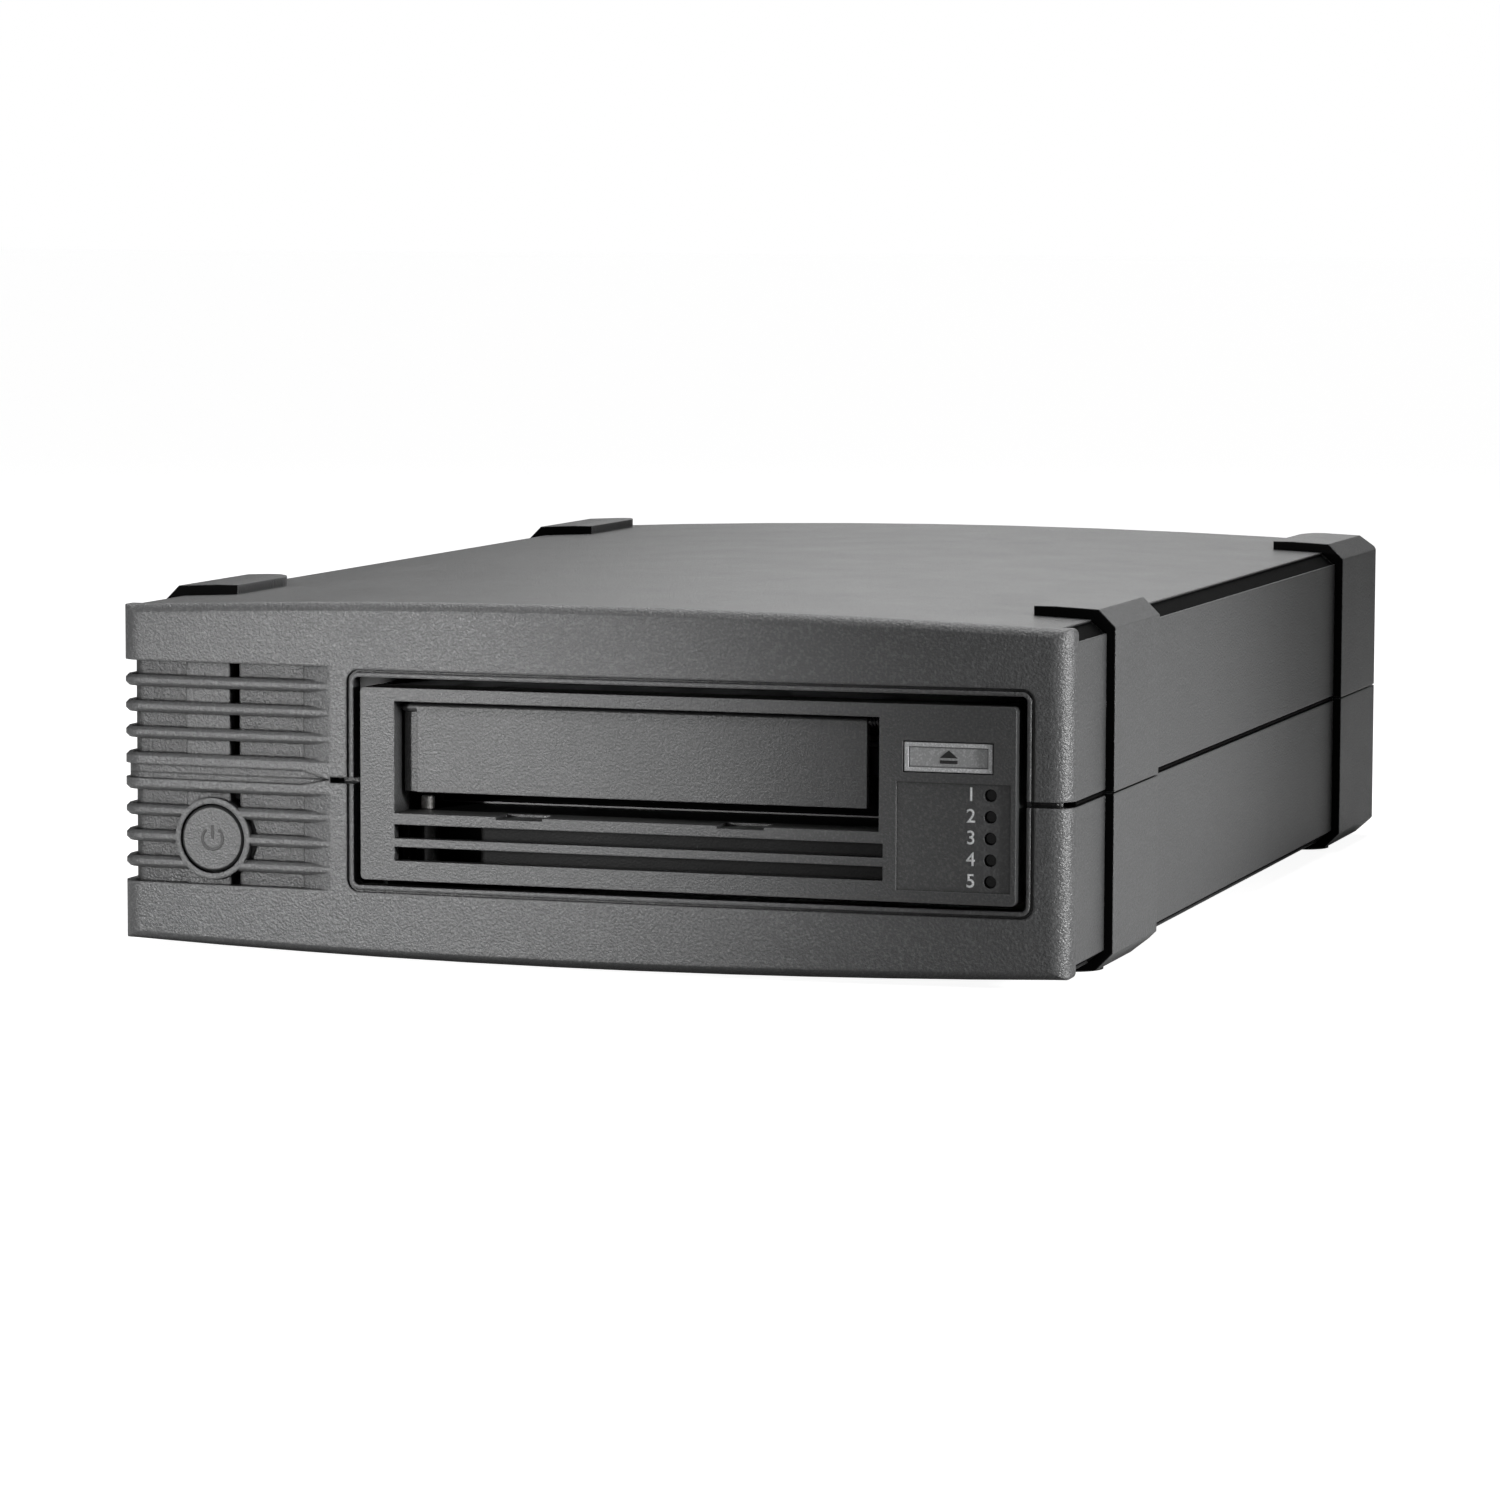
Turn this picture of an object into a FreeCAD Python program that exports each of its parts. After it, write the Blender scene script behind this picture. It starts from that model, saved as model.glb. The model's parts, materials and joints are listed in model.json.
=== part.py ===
"""Desktop data tape drive: a half-height cartridge tape drive in a two-part desktop case.

Frame: +X to the right seen from the front, +Y to the rear, +Z up. The origin is the centre of the
case's footprint on the table, at the level of the rubber feet. Lengths are millimetres.

The case is an upper and a lower moulded shell that meet at half height. Both are crowned, and the
front is bowed. Black trim strips fill the bevels along the long edges, and a guard wraps each corner
of each shell and ends in a pad to stack on. Ribs with air slots between them wrap the left front
corner, round the power button. The cartridge drive sits in a steel cradle behind its own bezel, the
power supply stands in the bay on its left, and a steel rear panel carries the fan and the sockets.
"""

import FreeCAD
import Part

import math
import os

Vector = FreeCAD.Vector

# ---------------------------------------------------------------- driving dimensions
case_width = 220.6          # over the corner guards
case_height = 79.4          # over the pads
case_depth = 320.0
guard_proud = 2.0           # how far a guard stands out of the shell's side
wall = 2.4                  # shell wall at the top, bottom, sides and rear
front_wall = 4.2            # shell wall at the front, deep enough for the grooves
front_bow = 3.0             # how far the middle of the front stands ahead of its ends
top_crown = 2.5             # rise of the top from its long edges to its middle
bottom_crown = 1.9
crown_clearance = 0.15      # the top's middle stays this far under the pads
foot_proud = 0.6            # rubber feet stand this far out of the lower pads
front_corner_r = 5.0
rear_corner_r = 3.0
front_edge_r = 2.4
cap_edge_r = 1.4            # round of the long edges ahead of the bevels
bevel_width = 3.6           # the bevel along the long edges, measured across
bevel_height = 3.0
parting_gap = 1.3           # open joint line between the shells
guard_gap = 0.4             # and between the guards' halves
tongue = 1.2                # inner rim of the lower shell, behind the joint line
tongue_gap = 0.25

# bezel of the cartridge drive and its window in the case
bezel_width = 147.2
bezel_height = 42.0
bezel_margin = 11.3         # from its right end to the right side of the case
bezel_z = -0.35             # and above the parting plane
bezel_depth = 9.0
bezel_plate = 2.5           # thickness of its front
bezel_rim = 2.0
bezel_sink = 0.3            # it lies this far behind the front of the case
window_width = 150.7
window_height = 45.5
window_rise = 0.4           # its middle lies this far above the bezel's
window_r = 1.2
lip_offset = 0.9            # from the window to the groove round it
lip_groove = 0.7            # width and depth of that groove

# air slots and power button
slot_pitch = 5.73
slot_height = 3.2
rib_bevel = 0.75            # bevels along the ribs' noses
runout_depth = 1.3          # the grooves' floor steps up to this depth where they start to run out
slot_count = 9
slot_top = 24.8             # top of the first slot above the parting plane
groove_depth = 2.4          # from the ribs' noses to the floor between them
shallow_depth = 0.9         # depth of the one slot that lies on the parting line
groove_end_share = 0.781    # where the grooves start to run out, as a share of the ribbed front's width
groove_fade_share = 0.9015  # and where they reach the surface
groove_side_length = 27.0   # how far the grooves run along the left side
web_start_share = 0.282     # upright web that lies higher than the grooves' floor
web_end_share = 0.4685
web_depth = 1.3             # depth of the grooves over that web
inlet_slit = 1.9            # open slit beside the web
button_share = 0.4          # the button's middle, as a share of the ribbed front's width
button_z = -14.0
button_r = 7.35
button_gap = 0.35
button_chamfer = 0.6
ring_wall = 1.3
button_travel = 1.8
button_flange = 1.6         # collar behind the wall, wider than the hole

# corner guards
guard_front_y = 32.4        # from the front of the case to the front guards
guard_length = 40.4
rear_guard_length = 45.7
guard_bevel = 3.8
pad_slope = 0.45            # rise of a pad from its bevel to its inner end
pad_width = 18.1            # from the outside of a guard to the inner end of its pad
pad_flat = 5.0              # level stretch at the inner end of a pad
pad_r = 14.0                # round at its inner rear corner
foot_ramp = 10.0            # length of the ramp at the rear end of a lower front guard
foot_ramp_rise = 2.6
rear_bevel = 6.0            # length of the bevel at the rear end of a rear guard
rear_bevel_drop = 4.0
strip_sink = 0.5            # trim strips lie this far inside the bevel
strip_thickness = 0.9
bevel_margin = 0.25         # shell left beside a strip

# cartridge door, bezel slots, eject button and lamps, all from the bezel's middle
door_x0 = -65.7             # opening for the cartridge
door_x1 = 43.7
door_z0 = -6.3
door_z1 = 18.1
tunnel_wall = 1.6
door_recess = 4.0           # the door's face lies this far behind the bezel's
door_thickness = 1.8
door_low_z = -1.9           # lower edge of the door
door_end_gap = 0.5
door_step_left = 3.7        # the face stops this far short of the opening's ends
door_step_right = 3.8
door_step = 1.0             # and the flange at its left end lies this far behind the face
hinge_drop = 1.6            # hinge axis below the top of the opening
barrel_r = 1.0
hinge_pin_r = 0.55
fit = 0.05                  # radial clearance of a running fit
vent_slot_z = (-10.25, -15.15)
vent_slot_height = 3.05
vent_slot_end = 0.9         # slots reach this far past the opening's right end
sill_notch = 10.5           # finger notches in the sill under the opening
sill_notch_drop = 0.6
sill_notch_depth = 7.0
sill_notch_x = (-37.0, 13.0)
eject_x = 58.8
eject_z = 9.95
eject_width = 19.2
eject_height = 6.2
eject_rim = 0.9
eject_gap = 0.25
eject_collar = 0.8          # its collar, wider than the button all round
eject_travel = 1.2
lamp_x = 68.0
lamp_z = 2.25
lamp_pitch = 4.58
lamp_count = 5
lamp_r = 1.3
lamp_sink = 1.3             # their ends lie this far behind the bezel's front
lamp_gap = 0.1              # between a light guide and the board
panel_x = 47.5              # shallow panel round the lamps and their labels
panel_z0 = -18.5
panel_z1 = 4.6
panel_depth = 0.35

# cartridge drive behind the bezel
drive_width = 146.0
drive_height = 41.3
drive_length = 205.0
sheet = 1.0                 # sheet steel of the drive
bead_width = 12.0           # stiffening beads in the drive's cover
bead_inset = 30.0
bead_depth = 0.4
cradle_sheet = 1.2
cradle_z = 7.0              # underside of the cradle's base
cradle_height = 38.0
cradle_windows = 3
cradle_web = 12.0           # sheet left round the windows in its base
cradle_screw_side = 14.0    # its screws, from the drive's sides
cradle_screw_front = 26.0   # and from the drive's front
cradle_screw_rear = 22.0
side_screw_rise = 8.0       # screws in the drive's sides, above its underside
side_screw_front = 46.0
side_screw_rear = 55.0
cartridge_width = 105.4
cartridge_play = 0.5
slide_gap = 0.3             # between sliding pieces
carriage_length = 82.0
carriage_height = 12.0
carriage_travel = 16.0
gear_module = 1.0
gear_teeth = 14
pinion_teeth = 10
gear_height = 3.2
backlash = 0.34
chuck_r = 20.0
reel_r = 36.0
reel_offset = 2.6           # the reel's axis, right of the drive's middle
roller_r = 5.5
roller_height = 15.0
roller_flange = 0.8
roller_pin_r = 1.0
roller_reach = 15.0         # from the head's middle to the inner rollers
head_travel = 0.8
head_length = 9.5
head_width = 14.0
head_height = 8.5
head_stand = 4.0            # its underside above the deck
head_nose_r = 4.0
head_rod_r = 1.2
head_room = 3.7             # from the raised head to the arm over it
magnet_depth = 5.5
magnet_gap = 1.0
plunger_inset = 3.45        # from the left side of the bay
plunger_r = 1.5
plunger_stand = 3.0         # how far it stands up from the floor of the bay
plunger_travel = 2.4
plunger_chamfer = 0.4
addendum = 0.8
dedendum = 1.1
gear_pin_r = 1.5
rack_pitch_x = 57.2         # pitch line of the rack, right of the bay's middle
rack_length = 50.0
loader_motor_r = 8.0
spindle_r = 1.5
chuck_height = 2.6
chuck_rise = 0.9
chuck_teeth = 12
chuck_ring_r = 15.5         # middle of the ring of teeth
chuck_tooth = 3.0           # radial length of a tooth
tape_width = 12.7
tape_play = 0.4
reel_flange = 1.2
reel_hub_r = 20.0
reel_windows = 6
spindle_reach = 5.0         # how far a spindle runs into its motor
rail_x = 40.0
head_inset = 27.6           # from the drive's left side to the face of the read and write head
head_ahead = 12.3           # the head's middle ahead of the reel's axis
deck_gap = 3.0              # between the drive's left wall and the tape deck
deck_width = 34.0
deck_ahead = 34.0           # from the head's middle to the deck's front
deck_behind = 38.0          # and to its rear
deck_thickness = 1.5
deck_rise = 2.0             # its underside above the cartridge's
deck_leg = 4.5
board_thickness = 1.6
board_rise = 2.5            # underside of the main board above the drive's floor
board_inset = 4.0           # from the drive's right side to the main board
board_post = 4.0
chip_size = 20.0
key_height = 1.6
connector_width = 30.0
connector_height = 7.0
connector_depth = 12.0      # from its rear opening in the drive to its front
connector_proud = 1.5
stem_r = 3.0
switch_body = 4.0
inlet_flange = 2.2

# rear panel and what it carries
panel_thickness = 1.2
panel_lap = 4.0             # the shells' rear rim laps over the panel
fan_size = 60.0
fan_depth = 15.0
fan_margin = 46.3           # from its middle to the right side of the case
fan_hub_r = 15.0
fan_blades = 7
blade_root_chord = 10.0
blade_tip_chord = 13.0
blade_root_angle = 42.0
blade_tip_angle = 28.0
blade_thickness = 1.2
fan_tip_gap = 1.0
fan_wall = 1.5              # least wall round its duct
fan_screw_inset = 5.0
spider_depth = 3.0          # arms and hub of the frame, at its rear
grille_margin = 3.0         # from the fan's edge to the slots in front of it
grille_pitch = 5.6
grille_slot = 3.2
grille_slots = 9
inlet_margin = 34.3         # from its middle to the left side of the case
inlet_width = 27.4
inlet_height = 20.0
inlet_depth = 18.0          # ahead of the panel
inlet_flange_width = 50.0
inlet_screw_x = 20.0        # its screws, from its middle
socket_width = 24.4
socket_height = 16.2
socket_corner = 4.0         # bevel of its two upper corners
port_x = (-22.0, 6.0)
port_width = 22.0
port_height = 9.0
port_depth = 16.0           # ahead of the panel
port_wall = 0.8
port_proud = 1.5

# fasteners
screw_r = 1.5
screw_head_r = 2.8
screw_head_height = 1.7
boss_r = 3.4
boss_margin = 4.0           # from the middle of a boss to the wall beside it
foot_r = 6.5
foot_depth = 1.6

head_seat_z = 4.0           # screw heads of the case sit this high in the lower bosses
case_screw_bite = 12.0      # how far these screws run into the upper bosses
post_r = 4.0                # half the width of the lower shell's standoffs
post_hole_z = 3.4           # their screw holes start this high

# power supply and power switch
supply_margin = 2.5         # from the wall beside it
supply_ahead = 17.2         # from the front guards to its front
supply_rear = 64.0          # from its rear end to the rear of the case
supply_z0 = 8.0
supply_height = 58.0
supply_vents = 5
supply_screw_side = 7.0
supply_screw_end = 8.0
supply_gap = 1.5            # between the supply and the screws of the cradle
switch_depth = 23.0         # from the front of the case to the face of the switch's bracket
switch_width = 20.0
bracket_z = 6.0             # underside of that bracket's foot
bracket_rise = 10.0         # its top above the button's middle
bracket_foot = 13.0
bracket_hole = 7.0          # its screw, behind its face

# ---------------------------------------------------------------- derived places
half_width = case_width / 2 - guard_proud
guard_x = case_width / 2
mid_z = case_height / 2
front_y = -case_depth / 2
rear_y = case_depth / 2
front_end_y = front_y + front_bow
top_z = case_height - crown_clearance
top_edge_z = top_z - top_crown
bottom_edge_z = case_height - top_edge_z
bottom_z = bottom_edge_z - bottom_crown
guard_y0 = front_y + guard_front_y
cap_y = front_end_y + front_corner_r
guard_y1 = guard_y0 + guard_length
rear_guard_y0 = rear_y - rear_guard_length
pad_x = guard_x - pad_width
boss_x = half_width - wall - boss_margin
bezel_x = half_width - bezel_margin - bezel_width / 2
bezel_y = front_y + bezel_sink
bezel_back = bezel_y + bezel_depth
bezel_mid_z = mid_z + bezel_z
window_mid_z = bezel_mid_z + window_rise
drive_x0 = bezel_x - drive_width / 2
drive_x1 = bezel_x + drive_width / 2
drive_z0 = bezel_mid_z - drive_height / 2
drive_z1 = drive_z0 + drive_height
drive_y0 = bezel_back
drive_y1 = drive_y0 + drive_length
bay_x0 = bezel_x + door_x0
bay_x1 = bezel_x + door_x1
bay_x = (bay_x0 + bay_x1) / 2
bay_z0 = bezel_mid_z + door_z0
bay_z1 = bezel_mid_z + door_z1
cartridge_z = bay_z0 + 0.3
hinge_y = bezel_y + door_recess + barrel_r
hinge_z = bay_z1 - hinge_drop
panel_y = rear_y - wall - panel_thickness
carriage_y0 = bezel_back + 17.5
plunger_x = bay_x0 + plunger_inset
plunger_y = bezel_back + plunger_r + 1.0
chuck_y = carriage_y0 + carriage_length / 2 + carriage_travel / 2
chuck_z = cartridge_z - sheet - slide_gap - chuck_height - chuck_rise - slide_gap
gear_x = bay_x + rack_pitch_x + gear_module * gear_teeth / 2
gear_y = carriage_y0 + carriage_length / 2
gear_z = cartridge_z + 4.0
pinion_angle = 1.5 * 360.0 / gear_teeth
pinion_x = gear_x + gear_module * (gear_teeth + pinion_teeth) / 2 * math.cos(math.radians(pinion_angle))
pinion_y = gear_y + gear_module * (gear_teeth + pinion_teeth) / 2 * math.sin(math.radians(pinion_angle))
reel_x = bezel_x + reel_offset
reel_y = drive_y1 - sheet - 2.0 - reel_r
head_x = drive_x0 + head_inset
head_y = reel_y - head_ahead
deck_x0 = drive_x0 + deck_gap
deck_z = cartridge_z + deck_rise
reel_z = deck_z + deck_thickness
board_z = drive_z0 + sheet + board_rise
connector_x1 = drive_x1 - 8.0
connector_x0 = connector_x1 - connector_width
supply_x0 = -half_width + wall + supply_margin
supply_x1 = drive_x0 - cradle_sheet - screw_head_height - supply_gap
supply_y1 = rear_y - supply_rear
supply_y0 = guard_y1 + supply_ahead
supply_z1 = supply_z0 + supply_height
fan_x = half_width - fan_margin
inlet_x = -half_width + inlet_margin
button_mid_z = mid_z + button_z
window_x0 = bezel_x - window_width / 2
ribbed_width = window_x0 + half_width
button_x = -half_width + button_share * ribbed_width
web_x0 = -half_width + web_start_share * ribbed_width
web_x1 = -half_width + web_end_share * ribbed_width
groove_end_x = -half_width + groove_end_share * ribbed_width
groove_fade_x = -half_width + groove_fade_share * ribbed_width
switch_y = front_y + switch_depth
bracket_hole_y = switch_y + bracket_hole
edge_stations = 3           # sections of the edge rounding on each side of the middle
over = 20.0                 # tools reach this far past what they cut
far = 400.0                 # longer than the case, for tools that cut right through

# ---------------------------------------------------------------- helpers
def box(x0, x1, y0, y1, z0, z1):
    return Part.makeBox(x1 - x0, y1 - y0, z1 - z0, Vector(x0, y0, z0))


def rod(radius, start, length, axis):
    """Cylinder from start, along axis."""
    return Part.makeCylinder(radius, length, Vector(*start), Vector(*axis))


def tube(outer, inner, start, length, axis):
    return rod(outer, start, length, axis).cut(rod(inner, start, length, axis))


def octagon(radius, start, length, axis):
    """Eight-sided prism from start, along axis: screws and their holes, light to draw."""
    along = Vector(*axis)
    u = Vector(1, 0, 0) if abs(along.x) < 0.5 else Vector(0, 1, 0)
    v = along.cross(u)
    corners = []
    for k in range(8):
        angle = math.pi * (2 * k + 1) / 8
        corner = Vector(*start) + (u * math.cos(angle) + v * math.sin(angle)) * radius
        corners.append((corner.x, corner.y, corner.z))
    return polygon(corners).extrude(along * length)


def joined(parts):
    """All parts fused into one shape, with leftover seams removed."""
    parts = list(parts)
    if len(parts) == 1:
        return parts[0]
    return parts[0].multiFuse(parts[1:]).removeSplitter()


def group(parts):
    """Separate solids that share a node."""
    return Part.makeCompound(list(parts))


def polygon(points):
    return Part.Face(Part.makePolygon([Vector(*p) for p in points + points[:1]]))


def along_x(points, x0, x1):
    """Prism of (y, z) points from x0 to x1."""
    return polygon([(x0, y, z) for y, z in points]).extrude(Vector(x1 - x0, 0, 0))


def along_y(points, y0, y1):
    """Prism of (x, z) points from y0 to y1."""
    return polygon([(x, y0, z) for x, z in points]).extrude(Vector(0, y1 - y0, 0))


def along_z(points, z0, z1):
    """Prism of (x, y) points from z0 to z1."""
    return polygon([(x, y, z0) for x, y in points]).extrude(Vector(0, 0, z1 - z0))


def face_of(edges):
    return Part.Face(Part.Wire(edges))


def line(a, b):
    return Part.LineSegment(Vector(*a), Vector(*b)).toShape()


def arc(a, via, b):
    return Part.Arc(Vector(*a), Vector(*via), Vector(*b)).toShape()


def rounded(shape, radius, wanted):
    """Fillets the edges that the test picks."""
    edges = [e for e in shape.Edges if wanted(e)]
    return shape.makeFillet(radius, edges) if edges else shape


def chamfered(shape, size, wanted):
    """Chamfers the edges that the test picks."""
    return shape.makeChamfer(size, [e for e in shape.Edges if wanted(e)])


def is_along(edge, axis):
    """True for a straight edge along axis 0, 1 or 2."""
    if not isinstance(edge.Curve, (Part.Line, Part.LineSegment)):
        return False
    size = edge.BoundBox
    lengths = (size.XLength, size.YLength, size.ZLength)
    return all(lengths[k] < 1e-4 for k in range(3) if k != axis)


def rounded_box(x0, x1, y0, y1, z0, z1, radius, axis):
    """Box with the four edges along axis rounded."""
    return rounded(box(x0, x1, y0, y1, z0, z1), radius, lambda e: is_along(e, axis))


def mirrored(shape):
    """The same piece on the other side of the case."""
    return shape.mirror(Vector(0, 0, 0), Vector(1, 0, 0))


def flipped(shape):
    """The same piece upside down, about the parting plane."""
    return shape.mirror(Vector(0, 0, mid_z), Vector(0, 0, 1))


def coil(radius, wire_r, start, length, axis, turns, per_turn=10):
    """Coil spring as a chain of short straight pieces with a square wire section."""
    w = Vector(*axis)
    u = Vector(1, 0, 0) if abs(w.x) < 0.5 else Vector(0, 1, 0)
    v = w.cross(u)
    origin = Vector(*start) + w * wire_r
    steps = turns * per_turn
    rise = (length - 2 * wire_r) / steps
    rings = []
    for k in range(steps + 1):
        angle = 2 * math.pi * k / per_turn
        out = u * math.cos(angle) + v * math.sin(angle)
        centre = origin + w * (rise * k)
        corners = ((-1, -1), (1, -1), (1, 1), (-1, 1))
        rings.append([centre + out * (radius + a * wire_r) + w * (b * wire_r) for a, b in corners])
    return skinned(rings)


def skinned(rings):
    """Solid through rings of four corners each, with a flat triangle skin."""
    faces = [Part.Face(Part.makePolygon(rings[0] + rings[0][:1]))]
    for near, next_ring in zip(rings, rings[1:]):
        for k in range(4):
            a, b = near[k], near[(k + 1) % 4]
            c, d = next_ring[(k + 1) % 4], next_ring[k]
            faces.append(Part.Face(Part.makePolygon([a, b, c, a])))
            faces.append(Part.Face(Part.makePolygon([a, c, d, a])))
    faces.append(Part.Face(Part.makePolygon(rings[-1] + rings[-1][:1])))
    solid = Part.Solid(Part.Shell(faces))
    return solid if solid.Volume > 0 else solid.reversed()


def screw(x, y, z, axis, length):
    """Pan head screw whose head's underside is at the point; axis runs from the head to the tip."""
    back = [-a * screw_head_height for a in axis]
    head = octagon(screw_head_r, (x + back[0], y + back[1], z + back[2]), screw_head_height, axis)
    return joined([head, octagon(screw_r - fit, (x, y, z), length, axis)])


# ---------------------------------------------------------------- case envelope
def bow_y(x):
    """Front surface of the case at x: a circle arc through both ends and the middle."""
    radius = (half_width**2 + front_bow**2) / (2 * front_bow)
    return front_y + radius - math.sqrt(radius**2 - x**2)


def plan_prism(side_inset, front_inset, rear_inset, z0=-10.0, z1=case_height + 10.0):
    """Outline seen from above, extruded past the case's height."""
    hw = half_width - side_inset
    y_end = bow_y(hw) + front_inset
    y_mid = front_y + front_inset
    y_rear = rear_y - rear_inset
    outline = face_of([
        arc((-hw, y_end, z0), (0, y_mid, z0), (hw, y_end, z0)),
        line((hw, y_end, z0), (hw, y_rear, z0)),
        line((hw, y_rear, z0), (-hw, y_rear, z0)),
        line((-hw, y_rear, z0), (-hw, y_end, z0)),
    ])
    prism = outline.extrude(Vector(0, 0, z1 - z0))
    front_r = max(front_corner_r - max(side_inset, 0), 0.8)
    rear_r = max(rear_corner_r - max(side_inset, 0), 0.5)
    prism = rounded(prism, front_r, lambda e: is_along(e, 2) and e.CenterOfMass.y < 0)
    return rounded(prism, rear_r, lambda e: is_along(e, 2) and e.CenterOfMass.y > 0)


def section_prism(inset):
    """Cross-section seen from the front, with its bevelled long edges."""
    hw = half_width - inset
    low, low_edge = bottom_z + inset, bottom_edge_z + inset
    high, high_edge = top_z - inset, top_edge_z - inset
    bx, bz = bevel_width, bevel_height
    y = front_y - over
    outline = face_of([
        arc((-hw + bx, y, low_edge), (0, y, low), (hw - bx, y, low_edge)),
        line((hw - bx, y, low_edge), (hw, y, low_edge + bz)),
        line((hw, y, low_edge + bz), (hw, y, high_edge - bz)),
        line((hw, y, high_edge - bz), (hw - bx, y, high_edge)),
        arc((hw - bx, y, high_edge), (0, y, high), (-hw + bx, y, high_edge)),
        line((-hw + bx, y, high_edge), (-hw, y, high_edge - bz)),
        line((-hw, y, high_edge - bz), (-hw, y, low_edge + bz)),
        line((-hw, y, low_edge + bz), (-hw + bx, y, low_edge)),
    ])
    return outline.extrude(Vector(0, case_depth + 40, 0))


def crown_z(x, middle, rise):
    """Height of a crowned surface at x, where its middle stands rise above its long edges."""
    half = half_width - bevel_width
    radius = (half**2 + rise**2) / (2 * abs(rise))
    drop = radius - math.sqrt(radius**2 - x**2)
    return middle - math.copysign(drop, rise)


def edge_round(middle, rise):
    """Tool that rounds the edge between the bowed front and a crowned top or bottom."""
    r = front_edge_r
    up = math.copysign(1.0, rise)
    reach = r + 0.35
    sections = []
    for k in range(-edge_stations, edge_stations + 1):
        x = k * (half_width + 3.0) / edge_stations
        y, z = bow_y(x), crown_z(x, middle, rise)
        inset = r * (1 - math.sqrt(0.5))
        low = (x, y - 0.15, z - up * reach)
        mid = (x, y + inset, z - up * inset)
        high = (x, y + reach, z + up * 0.15)
        corner = [high, (x, y + reach, z + up * 2), (x, y - 2, z + up * 2), (x, y - 2, z - up * reach), low]
        sections.append(Part.Wire([arc(low, mid, high)] + [line(a, b) for a, b in zip(corner, corner[1:])]))
    return Part.makeLoft(sections, True, False)


def front_cap():
    """The front few millimetres, where the long edges are square with a small round, not bevelled."""
    corner = along_y([
        (half_width - bevel_width - wall, top_edge_z - bevel_height - wall),
        (half_width, top_edge_z - bevel_height - wall),
        (half_width, top_edge_z),
        (half_width - bevel_width, top_edge_z),
        (half_width - bevel_width - wall, top_edge_z - wall / 2),
    ], front_y - 5, cap_y)

    def long_edge(e):
        middle = e.CenterOfMass
        return is_along(e, 1) and middle.x > half_width - 0.01 and middle.z > top_edge_z - 0.01

    corners = all_edges(rounded(corner, cap_edge_r, long_edge))
    return [c.common(plan_prism(0, 0, 0)) for c in corners]


def case_envelope():
    """Outer form of both shells together, solid, with its front edges rounded."""
    body = joined([plan_prism(0, 0, 0).common(section_prism(0))] + front_cap())
    return body.cut([edge_round(top_z, top_crown), edge_round(bottom_z, -bottom_crown)])


def case_cavity():
    """The room inside the shells."""
    return plan_prism(wall, front_wall, wall).common(section_prism(wall))


# ---------------------------------------------------------------- corner guards
def guard_band(y0, y1, pad_level):
    """Right-hand upper guard: a band up the side, over the bevel and inwards as a pad."""
    bevel_top = pad_level - pad_slope
    inside_z = top_edge_z - wall
    profile = [
        (half_width - wall, mid_z + guard_gap / 2),
        (guard_x, mid_z + guard_gap / 2),
        (guard_x, bevel_top - guard_bevel),
        (guard_x - guard_bevel, bevel_top),
        (pad_x + pad_flat, pad_level),
        (pad_x, pad_level),
        (pad_x, inside_z),
        (half_width - wall, inside_z - bevel_height),
    ]
    corner = box(pad_x - 1, pad_x + pad_r, y1 - pad_r, y1 + 1, 0, far)
    corner = corner.cut(rod(pad_r, (pad_x + pad_r, y1 - pad_r, 0), far, (0, 0, 1)))
    return along_y(profile, y0, y1).cut(corner)


def front_guard(pad_level):
    return guard_band(guard_y0, guard_y1, pad_level)


def rear_guard(pad_level):
    """Rear guard, with its end sloped down to the rear."""
    band = guard_band(rear_guard_y0, rear_y, pad_level)
    wedge = along_x([
        (rear_y - rear_bevel, case_height + 5),
        (rear_y - rear_bevel, pad_level),
        (rear_y, pad_level - rear_bevel_drop),
        (rear_y + 5, pad_level - rear_bevel_drop),
        (rear_y + 5, case_height + 5),
    ], 0, far)

    def corner(e):
        return is_along(e, 2) and e.CenterOfMass.x > half_width and e.CenterOfMass.y > rear_y - 1

    return rounded(band.cut(wedge), rear_corner_r, corner)


def upper_guards():
    right = [front_guard(case_height), rear_guard(case_height)]
    return right + [mirrored(g) for g in right]


def lower_guards():
    """The same guards upside down; the front ones ramp up behind their foot."""
    level = case_height - foot_proud
    ramp = along_x([
        (guard_y1 + 5, level + 5),
        (guard_y1 - foot_ramp, level + 5),
        (guard_y1 - foot_ramp, level),
        (guard_y1, level - foot_ramp_rise),
        (guard_y1 + 5, level - foot_ramp_rise),
    ], 0, far)
    right = [front_guard(level).cut(ramp), rear_guard(level)]
    guards = right + [mirrored(g) for g in right]
    return [flipped(g) for g in guards]


# ---------------------------------------------------------------- air slots at the left front
def slot_levels():
    """Lower and upper height of each slot, from the top down."""
    tops = [mid_z + slot_top - k * slot_pitch for k in range(slot_count)]
    return [(top - slot_height, top) for top in tops]


def groove_plan(depth, x0, x1):
    """Everything outside a surface that lies depth inside the case's front and left side."""
    side_end = front_y + groove_side_length
    return box(x0, x1, front_y - over, side_end, 0, case_height).cut(plan_prism(depth, depth, 0))


def middle_slot():
    """The shallow slot on the joint line, which narrows to a point at its right end."""
    low, high = slot_levels()[slot_count // 2]
    point = along_y([(groove_end_x, low), (groove_fade_x, mid_z), (groove_end_x, high)],
                    front_y - over, bow_y(groove_end_x) + shallow_depth)
    slab = box(-far, groove_end_x, front_y - over, 0, low, high)
    return joined([groove_plan(shallow_depth, -far, groove_end_x).common(slab), point])


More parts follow.
